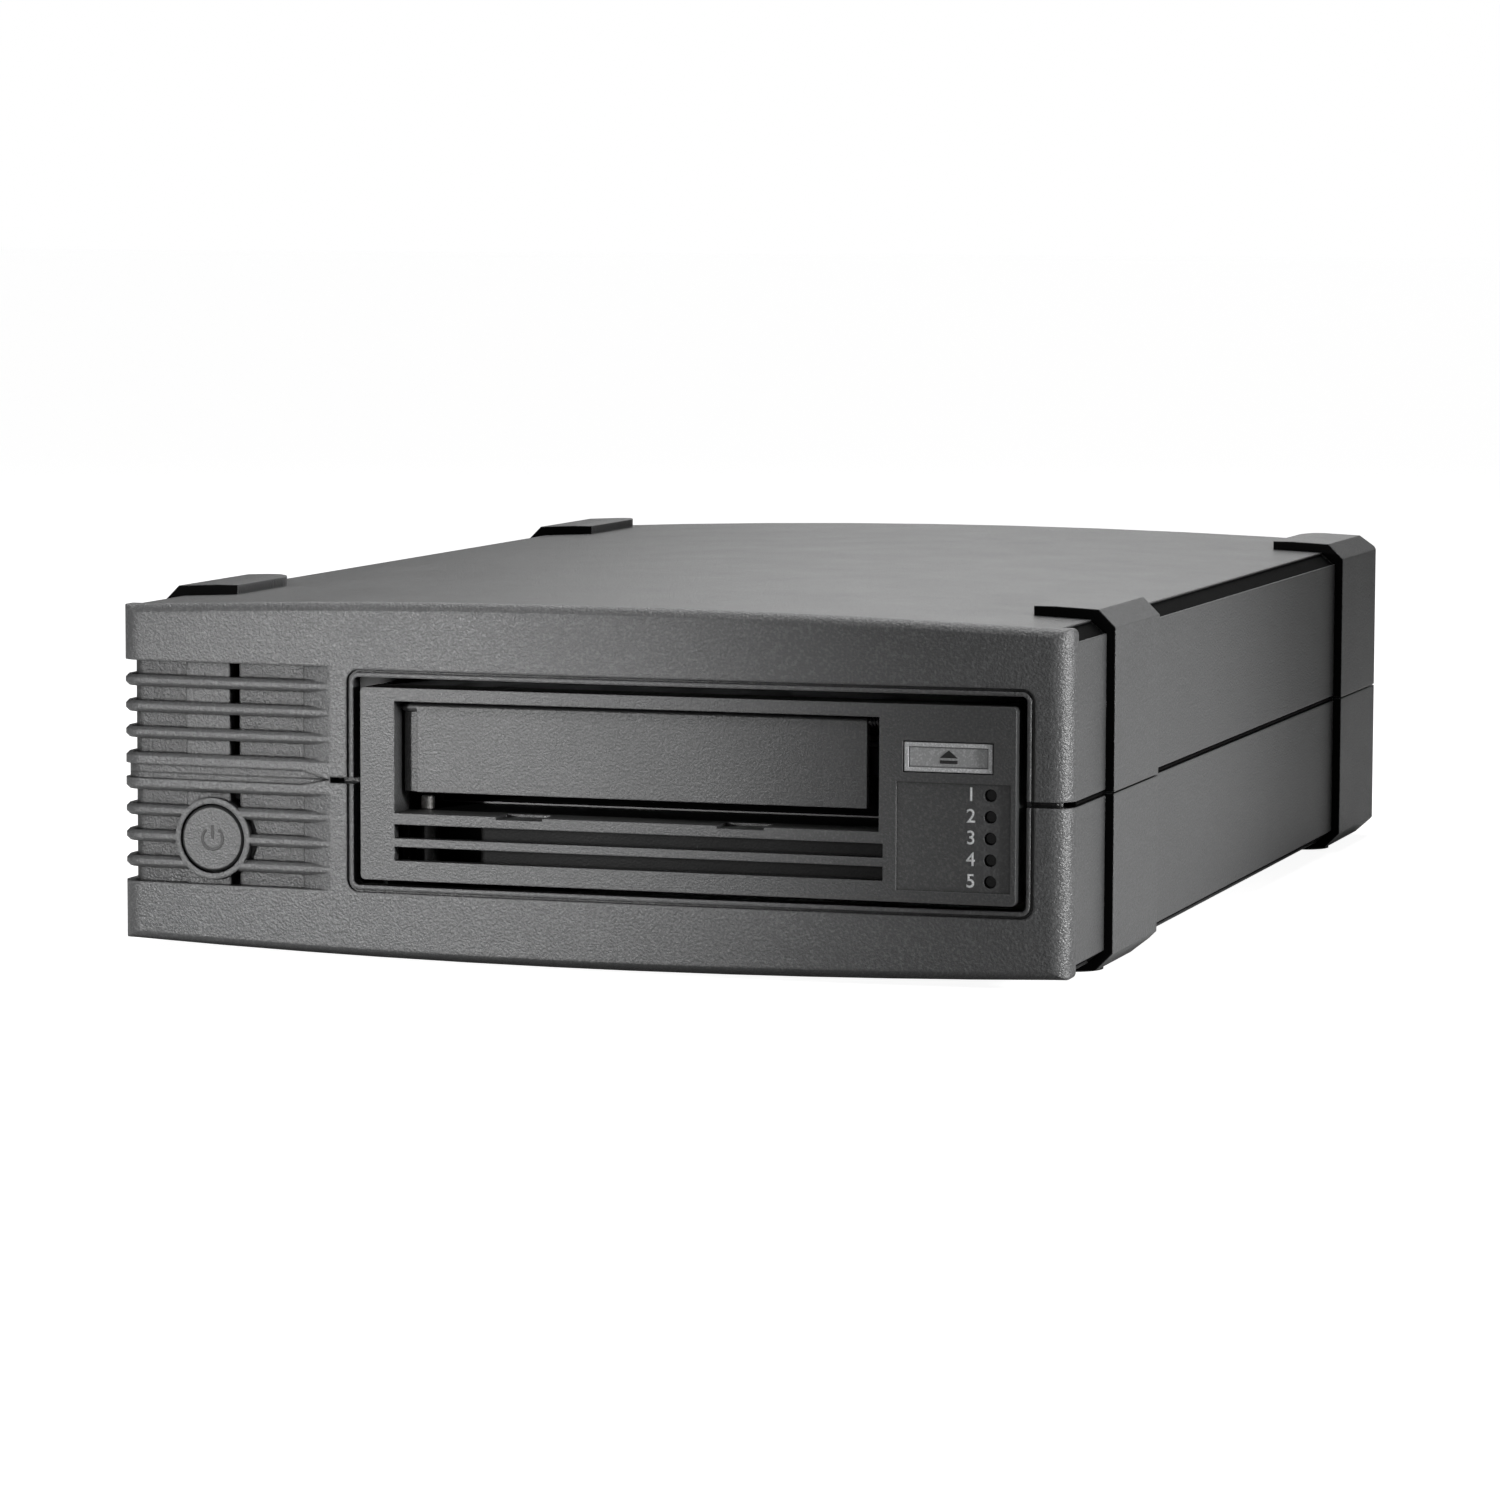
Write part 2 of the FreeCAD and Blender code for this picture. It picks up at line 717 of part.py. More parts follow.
def groove_runout():
    """Ramp that brings the grooves' floor back to the surface."""
    return along_z([
        (groove_end_x, bow_y(groove_end_x) + runout_depth),
        (groove_end_x, front_y - over),
        (groove_fade_x, front_y - over),
        (groove_fade_x, bow_y(groove_fade_x)),
    ], 0, case_height)


def button_ring():
    """Boss round the power button that fills the grooves beside it."""
    outer = button_r + button_gap + ring_wall
    z = mid_z + button_z
    block = rod(outer, (button_x, front_y - 5, z), 5 + front_bow + front_wall, (0, 1, 0))
    return block.common(plan_prism(0, 0, 0))


def bevelled_rib(low, high):
    """Rib between two slots, as a slice of the whole outline whose edges are bevelled."""
    layer = plan_prism(0, 0, 0, low, high)
    return chamfered(layer, rib_bevel, lambda e: not is_along(e, 2))


def ribs():
    """The ribs between the slots, from the top down."""
    levels = slot_levels()
    return [bevelled_rib(below[1], above[0]) for above, below in zip(levels, levels[1:])]


def air_slots():
    """All that is cut out of the shells between the ribs."""
    deep = [groove_plan(groove_depth, -far, web_x0), groove_plan(web_depth, web_x0, web_x1),
            groove_plan(groove_depth, web_x1, groove_end_x), groove_runout()]
    levels = slot_levels()
    middle = slot_count // 2
    y = bow_y(web_x1)
    cuts = []
    for field, under, above in ((levels[:middle], rib_bevel, 0), (levels[middle + 1:], 0, rib_bevel)):
        low, high = field[-1][0] - under, field[0][1] + above
        slab = box(-far, groove_fade_x + 5, front_y - over, 0, low, high)
        cuts.append(joined(plan.common(slab) for plan in deep))
        cuts += [box(web_x1, web_x1 + inlet_slit, y, y + front_wall + 2, a, b) for a, b in field]
    return joined([joined(cuts).cut(ribs()), middle_slot()]).cut(button_ring())


def joint_gap(guards, up):
    """Room for the joint line above (up = 1) or below (-1) the parting plane.

    It is open along the shells, narrow at the guards, and closed where the ribs wrap the corner.
    """
    closed = box(-far, groove_fade_x, front_y - over, front_y + groove_side_length, 0, case_height)
    gaps = []
    for gap, kept in ((parting_gap, [closed] + guards), (guard_gap, [closed])):
        low, high = sorted((mid_z, mid_z + up * gap / 2))
        gaps.append(box(-far, far, -far, far, low, high).cut(kept))
    return gaps


# ---------------------------------------------------------------- window and joint line
def window_box(grow, y0, y1):
    """Block with rounded corners, larger than the window by grow on each side."""
    hw = window_width / 2 + grow
    hh = window_height / 2 + grow
    z = window_mid_z
    return rounded_box(bezel_x - hw, bezel_x + hw, y0, y1, z - hh, z + hh, window_r + grow, 1)


def window_cut():
    return window_box(0, front_y - 5, front_y + front_wall + 10)


def lip_cut():
    """Fine groove round the window, as deep as it is wide, along the bowed front."""
    y1 = bow_y(bezel_x + window_width / 2) + lip_groove
    ring = window_box(lip_offset + lip_groove, front_y - 5, y1).cut(window_box(lip_offset, front_y - 6, y1))
    inner = plan_prism(lip_groove, lip_groove, 0)
    return ring.cut(inner)


def tongue_ring():
    """Rim of the lower shell that stands up behind the joint line."""
    outer_in = wall + tongue_gap
    root = plan_prism(wall - 0.4, front_wall - 0.4, wall - 0.4)
    root = root.cut(plan_prism(wall + tongue_gap + tongue, front_wall + tongue_gap + tongue,
                               wall + tongue_gap + tongue))
    rise = plan_prism(outer_in, front_wall + tongue_gap, outer_in)
    rise = rise.cut(plan_prism(outer_in + tongue, front_wall + tongue_gap + tongue, outer_in + tongue))
    low = root.common(box(-far, far, -far, far, mid_z - 3.5, mid_z - parting_gap / 2))
    high = rise.common(box(-far, far, -far, far, mid_z - parting_gap, mid_z + 2.0))
    return [low, high]


def rear_opening():
    """Opening in the shells' rear wall, in front of which the steel panel lies."""
    edge = wall + panel_lap
    return rounded_box(-half_width + edge, half_width - edge, rear_y - wall - 20, rear_y + 20,
                       bottom_edge_z + edge, top_edge_z - edge, 2.0, 1)


def panel_channel():
    """Room for the rear panel, free of the tongue."""
    return box(-half_width + wall, half_width - wall, panel_y - tongue_gap - tongue, rear_y - wall,
               mid_z - 5, mid_z + 5)


def boss_places():
    """Screw bosses near the corners: x, y."""
    front_boss = guard_y1 - foot_ramp / 2
    rear_boss = rear_guard_y0 + 28.0
    return [(sx * boss_x, y) for sx in (-1, 1) for y in (front_boss, rear_boss)]


def foot_places():
    """Rubber feet: x, y."""
    front_foot = guard_y0 + foot_r + 4.0
    rear_foot = rear_guard_y0 + foot_r + 3.0
    x = guard_x - guard_bevel - foot_r - 1.0
    return [(sx * x, y) for sx in (-1, 1) for y in (front_foot, rear_foot)]


# ---------------------------------------------------------------- shells
def shell_body(guards):
    return joined([case_envelope()] + guards).cut(case_cavity())


def upper_shell():
    """Upper half: crowned top, guards, upper ribs and the upper half of the window."""
    body = shell_body(upper_guards())
    body = body.common(box(-far, far, -far, far, mid_z, far)).cut(joint_gap(upper_guards(), 1))
    bosses = [box(x - boss_r, x + boss_r, y - boss_r, y + boss_r, mid_z, top_edge_z - wall / 2)
              for x, y in boss_places()]
    body = joined([body] + bosses)
    cuts = [air_slots(), window_cut(), lip_cut(), rear_opening()] + trim_channels()
    cuts += [octagon(screw_r, (x, y, mid_z), case_screw_bite + 4.0, (0, 0, 1)) for x, y in boss_places()]
    return body.cut(cuts)


def square_post(x, y, half, top):
    """Moulded post on the lower shell's floor; its root lies in the wall."""
    return box(x - half, x + half, y - half, y + half, bottom_edge_z + 0.2, top)


def lower_shell():
    """Lower half: feet, button ring, tongue, standoffs for the cradle and screw bosses."""
    body = shell_body(lower_guards())
    body = body.common(box(-far, far, -far, far, -far, mid_z)).cut(joint_gap(lower_guards(), -1))
    posts = [square_post(x, y, boss_r, mid_z) for x, y in boss_places()]
    posts += [square_post(x, y, post_r, cradle_z) for x, y in cradle_places()]
    posts += [square_post(x, y, post_r, supply_z0) for x, y in supply_places()]
    posts.append(square_post(button_x, bracket_hole_y, post_r, bracket_z))
    body = joined([body] + posts + tongue_ring())
    cuts = [air_slots(), window_cut(), lip_cut(), rear_opening(), panel_channel()] + trim_channels()
    z = mid_z + button_z
    cuts.append(rod(button_r + button_gap, (button_x, front_y - 5, z), 20, (0, 1, 0)))
    for x, y in boss_places():
        cuts.append(octagon(screw_r + 0.2, (x, y, 0), mid_z + 1, (0, 0, 1)))
        cuts.append(octagon(screw_head_r + 0.2, (x, y, -1), head_seat_z + 1, (0, 0, 1)))
        cuts.append(box(x - boss_r - 0.3, half_width, y - boss_r - 0.3, y + boss_r + 0.3, mid_z, mid_z + 10))
    for x, y in cradle_places() + supply_places() + [(button_x, bracket_hole_y)]:
        cuts.append(octagon(screw_r, (x, y, post_hole_z), 10, (0, 0, 1)))
    for x, y in foot_places():
        cuts.append(rod(foot_r + fit, (x, y, -1), 1 + foot_depth, (0, 0, 1)))
    return body.cut(cuts)


def cradle_places():
    """Screws that hold the cradle down: x, y."""
    xs = (drive_x0 + cradle_screw_side, drive_x1 - cradle_screw_side)
    ys = (drive_y0 + cradle_screw_front, drive_y1 - cradle_screw_rear)
    return [(x, y) for x in xs for y in ys]


def supply_places():
    xs = (supply_x0 + supply_screw_side, supply_x1 - supply_screw_side)
    ys = (supply_y0 + supply_screw_end, supply_y1 - supply_screw_end)
    return [(x, y) for x in xs for y in ys]


def bevel_profile(out, deep):
    """Upper right bevel seen from the front: (x, z) points from out outside it to deep inside it."""
    length = math.hypot(bevel_width, bevel_height)
    along = (bevel_width / length, -bevel_height / length)
    inward = (-bevel_height / length, -bevel_width / length)
    ends = (bevel_margin, length - bevel_margin)
    points = []
    for t, depth in ((ends[0], -out), (ends[1], -out), (ends[1], deep), (ends[0], deep)):
        x = half_width - bevel_width + along[0] * t + inward[0] * depth
        z = top_edge_z + along[1] * t + inward[1] * depth
        points.append((x, z))
    return points


def all_edges(shape):
    """A piece of the upper right edge, repeated at the four long edges."""
    right = [shape, flipped(shape)]
    return right + [mirrored(s) for s in right]


def trim_pieces(out):
    """Pieces of the bevels ahead of the front guards and between the guards, from out outside them."""
    profile = bevel_profile(out, strip_sink + strip_thickness)
    pieces = []
    for y0, y1 in ((cap_y, guard_y0), (guard_y1, rear_guard_y0)):
        pieces += all_edges(along_y(profile, y0, y1))
    return pieces


def trim_channels():
    """Channels in the bevels for the trim strips."""
    return trim_pieces(3.0)


def edge_trim():
    """Black strips in the bevels of the long edges, a short and a long one at each edge."""
    return group(trim_pieces(-strip_sink))


def rubber_feet():
    return group(rod(foot_r, (x, y, 0), foot_depth, (0, 0, 1)) for x, y in foot_places())


def case_screws():
    length = mid_z + case_screw_bite - head_seat_z
    return group(screw(x, y, head_seat_z, (0, 0, 1), length) for x, y in boss_places())


# ---------------------------------------------------------------- power button
def power_button():
    """Round button with a collar behind the wall and a stem to the switch."""
    y0 = bow_y(button_x) + 0.1
    collar_y = bow_y(button_x) + front_wall + 2 * slide_gap + 0.15
    z = button_mid_z
    face = rod(button_r, (button_x, y0, z), collar_y + 1.5 - y0, (0, 1, 0))
    face = chamfered(face, button_chamfer, lambda e: abs(e.CenterOfMass.y - y0) < 0.01)
    collar = rod(button_r + button_flange, (button_x, collar_y, z), 1.5, (0, 1, 0))
    stem = rod(stem_r, (button_x, collar_y, z), stem_end_y() - collar_y, (0, 1, 0))
    return joined([face, collar, stem])


def stem_end_y():
    """The button's stem stops short of the switch, which is pressed at the end of the travel."""
    return switch_y - switch_body - button_travel - slide_gap


def power_button_spring():
    collar_y = bow_y(button_x) + front_wall + 2 * slide_gap + 0.15 + 1.5
    start = collar_y + slide_gap
    length = switch_y - start - slide_gap - button_travel
    return coil(stem_r + 1.6, 0.3, (button_x, start, button_mid_z), length, (0, 1, 0), 5)


def power_switch():
    """Switch body on the front of its bracket, small enough to sit inside the spring."""
    z = button_mid_z
    half = stem_r
    return box(button_x - half, button_x + half, switch_y - switch_body, switch_y, z - half, z + half)


def switch_bracket():
    """Steel angle that stands on the lower shell and carries the power switch."""
    half = switch_width / 2
    top = button_mid_z + bracket_rise
    plate = box(button_x - half, button_x + half, switch_y, switch_y + sheet, bracket_z, top)
    foot = box(button_x - half, button_x + half, switch_y, switch_y + bracket_foot,
               bracket_z, bracket_z + sheet)
    return joined([plate, foot]).cut(octagon(screw_r, (button_x, bracket_hole_y, 0), over, (0, 0, 1)))


# ---------------------------------------------------------------- bezel, door and eject button
def bezel_box(x0, x1, y0, y1, z0, z1):
    """Box whose x and z are given from the bezel's middle and whose y is given from its front."""
    return box(bezel_x + x0, bezel_x + x1, bezel_y + y0, bezel_y + y1,
               bezel_mid_z + z0, bezel_mid_z + z1)


def lamp_places():
    return [(bezel_x + lamp_x, bezel_mid_z + lamp_z - k * lamp_pitch) for k in range(lamp_count)]


def drive_bezel():
    """Front plate with a rim, a tunnel for the cartridge, vents, and holes for button and lamps."""
    hw, hh = bezel_width / 2, bezel_height / 2
    body = rounded_box(bezel_x - hw, bezel_x + hw, bezel_y, bezel_back,
                       bezel_mid_z - hh, bezel_mid_z + hh, 1.0, 1)
    pocket = bezel_box(-hw + bezel_rim, hw - bezel_rim, bezel_plate, bezel_depth + 1,
                       -hh + bezel_rim, hh - bezel_rim)
    tunnel = bezel_box(door_x0 - tunnel_wall, door_x1 + tunnel_wall, 1.0, bezel_depth,
                       door_z0 - tunnel_wall, door_z1 + tunnel_wall)
    body = joined([body.cut(pocket), tunnel])
    cuts = [bezel_box(door_x0, door_x1, -1, bezel_depth + 1, door_z0, door_z1)]
    for z in vent_slot_z:
        half = vent_slot_height / 2
        cuts.append(bezel_box(door_x0, door_x1 + vent_slot_end, -1, bezel_plate + 1, z - half, z + half))
    for x in sill_notch_x:
        half = sill_notch / 2
        cuts.append(bezel_box(x - half, x + half, -1, sill_notch_depth,
                              door_z0 - sill_notch_drop, door_z0 + 0.5))
    half_w, half_h = eject_width / 2 + eject_gap, eject_height / 2 + eject_gap
    cuts.append(bezel_box(eject_x - half_w, eject_x + half_w, -1, bezel_plate + 1,
                          eject_z - half_h, eject_z + half_h))
    cuts.append(bezel_box(panel_x, hw - 1.2, -1, panel_depth, panel_z0, panel_z1))
    cuts += [rod(lamp_r + fit, (x, bezel_y - 1, z), 5, (0, 1, 0)) for x, z in lamp_places()]
    pin_x0 = bay_x0 - tunnel_wall / 2
    cuts.append(rod(hinge_pin_r + fit, (pin_x0, hinge_y, hinge_z), bay_x1 - bay_x0 + tunnel_wall, (1, 0, 0)))
    return body.cut(cuts)


def cartridge_door():
    """Spring-loaded flap hung from a pin along its top edge; it swings inwards and up."""
    x0, x1 = bay_x0 + door_end_gap, bay_x1 - door_step_right
    y0 = bezel_y + door_recess
    y1 = y0 + door_thickness
    z0 = bezel_mid_z + door_low_z
    face = box(bay_x0 + door_step_left, x1, y0, y1, z0, hinge_z)
    flange = box(x0, x1, y0 + door_step, y1, z0, hinge_z)
    barrel = rod(barrel_r, (x0, hinge_y, hinge_z), x1 - x0, (1, 0, 0))
    bore = rod(hinge_pin_r + fit, (x0 - 1, hinge_y, hinge_z), x1 - x0 + 2, (1, 0, 0))
    return joined([face, flange, barrel]).cut(bore)


def door_pin():
    """Steel hinge pin, held by the two side walls of the tunnel."""
    return rod(hinge_pin_r, (bay_x0 - tunnel_wall / 2, hinge_y, hinge_z),
               bay_x1 - bay_x0 + tunnel_wall, (1, 0, 0))


def door_spring():
    """Closing spring round the pin, in the gap at the door's right end."""
    start = bay_x1 - door_step_right + slide_gap
    length = door_step_right - 2 * slide_gap
    return coil(hinge_pin_r + 0.27, 0.15, (start, hinge_y, hinge_z), length, (1, 0, 0), 4, 8)


def eject_button():
    """Rectangular button with a raised rim; its collar is caught behind the bezel's plate."""
    hw, hh = eject_width / 2, eject_height / 2
    body = bezel_box(eject_x - hw, eject_x + hw, 0.2, 4.0, eject_z - hh, eject_z + hh)
    dish = bezel_box(eject_x - hw + eject_rim, eject_x + hw - eject_rim, 0, 0.6,
                     eject_z - hh + eject_rim, eject_z + hh - eject_rim)
    y = bezel_plate + slide_gap
    wide, high = hw + eject_collar, hh + eject_collar
    collar = bezel_box(eject_x - wide, eject_x + wide, y, y + 1.0, eject_z - high, eject_z + high)
    end = bezel_depth - board_thickness - key_height - eject_travel - slide_gap
    stem = bezel_box(eject_x - 1.5, eject_x + 1.5, y, end, eject_z - 1.5, eject_z + 1.5)
    return joined([body, collar, stem]).cut(dish)


def front_board():
    """Circuit board behind the bezel with the eject key and a lamp behind each light guide."""
    hw = bezel_width / 2 - bezel_rim - 0.4
    hh = bezel_height / 2 - bezel_rim - 0.4
    y1 = bezel_depth
    board = bezel_box(door_x1 + tunnel_wall + 0.4, hw, y1 - board_thickness, y1, -hh, hh)
    parts = [board]
    parts.append(bezel_box(eject_x - 3, eject_x + 3, y1 - board_thickness - key_height,
                           y1 - board_thickness, eject_z - 3, eject_z + 3))
    return joined(parts)


def status_lamps():
    """Light guides from the bezel's plate back to the board."""
    length = bezel_depth - board_thickness - lamp_gap - lamp_sink
    return group(rod(lamp_r, (x, bezel_y + lamp_sink, z), length, (0, 1, 0)) for x, z in lamp_places())


# ---------------------------------------------------------------- drive chassis
def drive_base():
    """Folded steel tray of the drive: floor, two side walls and the rear wall."""
    outer = box(drive_x0, drive_x1, drive_y0, drive_y1, drive_z0, drive_z1 - sheet)
    room = box(drive_x0 + sheet, drive_x1 - sheet, drive_y0 - 1, drive_y1 - sheet,
               drive_z0 + sheet, drive_z1 + 1)
    body = outer.cut(room)
    cuts = [box(connector_x0 - 1, connector_x1 + 1, drive_y1 - 5, drive_y1 + 5,
                board_z - 1, board_z + board_thickness + connector_height + 1)]
    for x, y, z, axis in side_screw_places():
        cuts.append(octagon(screw_r, (x - axis[0] * 5, y, z), 15, axis))
    return body.cut(cuts)


def side_screw_places():
    """Screws from the cradle into the drive's sides: x of the head's seat, y, z, axis."""
    z = drive_z0 + side_screw_rise
    ys = (drive_y0 + side_screw_front, drive_y1 - side_screw_rear)
    left = [(drive_x0 - cradle_sheet, y, z, (1, 0, 0)) for y in ys]
    return left + [(drive_x1 + cradle_sheet, y, z, (-1, 0, 0)) for y in ys]


def drive_cover():
    """Lid of the drive with two long stiffening beads pressed into it."""
    plate = box(drive_x0, drive_x1, drive_y0, drive_y1, drive_z1 - sheet, drive_z1)
    beads = []
    half = bead_width / 2
    for x in (drive_x0 + bead_inset, drive_x1 - bead_inset):
        beads.append(rounded_box(x - half, x + half, drive_y0 + bead_inset, drive_y1 - bead_inset,
                                 drive_z1 - bead_depth, drive_z1 + 1, half - 0.1, 2))
    return plate.cut(beads)


def bay_frame():
    """Two side plates, a floor and a skirt under it that carry on the bezel's tunnel into the drive."""
    y0, y1 = bezel_back, carriage_y0 - slide_gap * 2
    z0 = drive_z0 + sheet
    plates = [box(bay_x0 - tunnel_wall, bay_x0, y0, y1, z0, bay_z1),
              box(bay_x1, bay_x1 + tunnel_wall, y0, y1, z0, bay_z1)]
    floor = box(bay_x0, bay_x1, y0, y1, bay_z0 - tunnel_wall, bay_z0)
    skirt = box(bay_x0, bay_x1, y1 - tunnel_wall, y1, z0, bay_z0 - tunnel_wall)
    hole = rod(plunger_r + fit, (plunger_x, plunger_y, z0), 30, (0, 0, 1))
    guide = tube(plunger_r + 1.0, plunger_r + fit, (plunger_x, plunger_y, z0), bay_z0 - tunnel_wall - z0,
                 (0, 0, 1))
    return joined(plates + [floor, skirt]).cut(hole).fuse(guide).removeSplitter()


def cartridge_plunger():
    """Pale pin in the floor of the bay that a cartridge presses down as it goes in."""
    low = drive_z0 + sheet + plunger_travel + slide_gap
    pin = rod(plunger_r, (plunger_x, plunger_y, low), bay_z0 + plunger_stand - low, (0, 0, 1))
    return chamfered(pin, plunger_chamfer, lambda e: abs(e.CenterOfMass.z - bay_z0 - plunger_stand) < 0.01)


def bay_rails():
    """Two steel channels on the drive's floor that the cartridge carriage slides on."""
    z0 = drive_z0 + sheet
    z1 = cartridge_z - sheet - slide_gap
    y0, y1 = carriage_y0, carriage_y0 + carriage_length + carriage_travel
    rails = []
    for side in (-1, 1):
        x = bay_x + side * rail_x
        top = box(x - 4, x + 4, y0, y1, z1 - sheet, z1)
        rails.append(joined([top, box(x - 4, x - 4 + sheet, y0, y1, z0, z1),
                             box(x + 4 - sheet, x + 4, y0, y1, z0, z1)]))
    return group(rails)


def cartridge_carriage():
    """Steel tray that draws the cartridge in, with a hole over the chuck and a rack on its side."""
    inner = cartridge_width / 2 + cartridge_play
    outer = inner + sheet
    y0, y1 = carriage_y0, carriage_y0 + carriage_length
    z0 = cartridge_z - sheet
    tray = box(bay_x - outer, bay_x + outer, y0, y1, z0, cartridge_z + carriage_height)
    room = box(bay_x - inner, bay_x + inner, y0 - 1, y1 + 1, cartridge_z, cartridge_z + 50)
    slot_r = chuck_r + 1.5
    ends = [rod(slot_r, (bay_x, chuck_y - t, z0 - 1), 5, (0, 0, 1)) for t in (0, carriage_travel)]
    middle = box(bay_x - slot_r, bay_x + slot_r, chuck_y - carriage_travel, chuck_y, z0 - 1, z0 + 4)
    return joined([tray.cut([room, middle] + ends), rack()])


def tooth_profile(half_base, half_tip, rise):
    """Straight-sided tooth: (along, out) points."""
    return [(-half_base, 0.0), (-half_tip, rise), (half_tip, rise), (half_base, 0.0)]


def tooth_widths():
    """Half widths of a tooth at its root and tip, thinned by the backlash."""
    half = (math.pi * gear_module / 2 - backlash) / 2
    slope = math.tan(math.radians(20))
    return half + slope * dedendum * 0.8, half - slope * addendum


def rack():
    """Straight row of teeth on the right side of the carriage."""
    root_x = bay_x + rack_pitch_x - dedendum
    back_x = bay_x + cartridge_width / 2 + cartridge_play + sheet
    base, tip = tooth_widths()
    count = int(rack_length / (math.pi * gear_module) / 2)
    reach = (count + 0.5) * math.pi * gear_module
    parts = [box(back_x - 0.2, root_x, gear_y - reach, gear_y + reach, gear_z, gear_z + gear_height)]
    for k in range(-count, count + 1):
        y = gear_y + k * math.pi * gear_module
        points = [(root_x - 0.1 + out * 1.05, y + along)
                  for along, out in tooth_profile(base, tip, addendum + dedendum)]
        parts.append(along_z(points, gear_z, gear_z + gear_height))
    return joined(parts)


def spur_gear(x, y, teeth, phase, bore):
    """Spur gear with straight-sided teeth; the first tooth points along phase, in degrees."""
    pitch_r = gear_module * teeth / 2
    root_r = pitch_r - dedendum
    base, tip = tooth_widths()
    points = []
    for k in range(teeth):
        angle = math.radians(phase) + 2 * math.pi * k / teeth
        ahead = (math.cos(angle), math.sin(angle))
        side = (-ahead[1], ahead[0])
        for along, out in tooth_profile(base, tip, addendum + dedendum):
            r = root_r + out
            points.append((x + ahead[0] * r + side[0] * along, y + ahead[1] * r + side[1] * along))
    return along_z(points, gear_z, gear_z + gear_height).cut(rod(bore, (x, y, gear_z - 1), 10, (0, 0, 1)))


def loader_gear():
    """Intermediate gear between the rack and the motor's pinion."""
    half_pitch = 180.0 / gear_teeth
    return spur_gear(gear_x, gear_y, gear_teeth, half_pitch, gear_pin_r + fit)


def loader_gear_post():
    """Steel post on the drive's floor with the pin that the gear turns on."""
    z0 = drive_z0 + sheet
    foot = rod(3.0, (gear_x, gear_y, z0), gear_z - slide_gap - z0, (0, 0, 1))
    return joined([foot, rod(gear_pin_r, (gear_x, gear_y, z0), gear_z + gear_height + 0.6 - z0, (0, 0, 1))])


def loader_pinion():
    phase = pinion_angle + 180.0 + 180.0 / pinion_teeth
    gear = spur_gear(pinion_x, pinion_y, pinion_teeth, phase, 0.8 + fit)
    return gear


def loader_motor():
    """Small can motor that stands on the drive's floor, with its shaft up."""
    z0 = drive_z0 + sheet
    can = rod(loader_motor_r, (pinion_x, pinion_y, z0), gear_z - slide_gap - 1.2 - z0, (0, 0, 1))
    boss = rod(2.5, (pinion_x, pinion_y, z0), gear_z - slide_gap - z0, (0, 0, 1))
    shaft = rod(0.8, (pinion_x, pinion_y, z0), gear_z + gear_height + 0.6 - z0, (0, 0, 1))
    return joined([can, boss, shaft])


# ---------------------------------------------------------------- reels
def motor_stator(x, y, radius, z1):
    """Flat motor on the drive's floor with a bore for the spindle."""
    z0 = drive_z0 + sheet
    bore_z = z1 - spindle_reach - 1
    bore = rod(spindle_r + fit, (x, y, bore_z), over, (0, 0, 1))
    return rod(radius, (x, y, z0), z1 - z0, (0, 0, 1)).cut(bore)


def chuck_motor():
    return motor_stator(bay_x, chuck_y, chuck_r + 1.0, chuck_z)


def supply_chuck():
    """Toothed disc that takes hold of the cartridge's hub from below, with its spindle."""
    z0 = chuck_z + slide_gap
    z1 = z0 + chuck_height
    disc = rod(chuck_r, (bay_x, chuck_y, z0), chuck_height, (0, 0, 1))
    pitch = 2 * math.pi * chuck_ring_r / chuck_teeth
    teeth = []
    for k in range(chuck_teeth):
        tooth = along_z([
            (chuck_ring_r - chuck_tooth / 2, -pitch * 0.2),
            (chuck_ring_r + chuck_tooth / 2, -pitch * 0.3),
            (chuck_ring_r + chuck_tooth / 2, pitch * 0.3),
            (chuck_ring_r - chuck_tooth / 2, pitch * 0.2),
        ], z1 - 0.2, z1 + chuck_rise)
        tooth.rotate(Vector(0, 0, 0), Vector(0, 0, 1), 360.0 * k / chuck_teeth)
        tooth.translate(Vector(bay_x, chuck_y, 0))
        teeth.append(tooth)
    spindle = rod(spindle_r, (bay_x, chuck_y, chuck_z - spindle_reach), spindle_reach + 1, (0, 0, 1))
    return joined([disc, spindle] + teeth)


def takeup_motor():
    return motor_stator(reel_x, reel_y, reel_hub_r, reel_z - slide_gap)


def takeup_reel():
    """Reel that winds the tape: hub between two flanges, with windows in the upper one."""
    up = (0, 0, 1)
    upper_z = reel_z + reel_flange + tape_width + tape_play
    flange = rod(reel_r, (reel_x, reel_y, reel_z), reel_flange, up)
    upper = rod(reel_r, (reel_x, reel_y, upper_z), reel_flange, up)
    hub = rod(reel_hub_r, (reel_x, reel_y, reel_z), upper_z + reel_flange - reel_z, up)
    spindle = rod(spindle_r, (reel_x, reel_y, reel_z - slide_gap - spindle_reach), spindle_reach + 1, up)
    windows = []
    for k in range(reel_windows):
        window = octagon((reel_r - reel_hub_r) * 0.3, ((reel_r + reel_hub_r) / 2, 0, upper_z - 1), 5, up)
        window.rotate(Vector(0, 0, 0), Vector(0, 0, 1), 360.0 * k / reel_windows)
        window.translate(Vector(reel_x, reel_y, 0))
        windows.append(window)
    return joined([flange, upper.cut(windows), hub, spindle])


# ---------------------------------------------------------------- tape path
def roller_places():
    """Guide rollers before and after the head: x, y."""
    inner_x = deck_x0 + deck_width * 0.53
    return [(deck_x0 + deck_width * 0.24, head_y - roller_reach * 1.8), (inner_x, head_y - roller_reach),
            (inner_x, head_y + roller_reach), (deck_x0 + deck_width * 0.85, head_y + roller_reach * 2.05)]


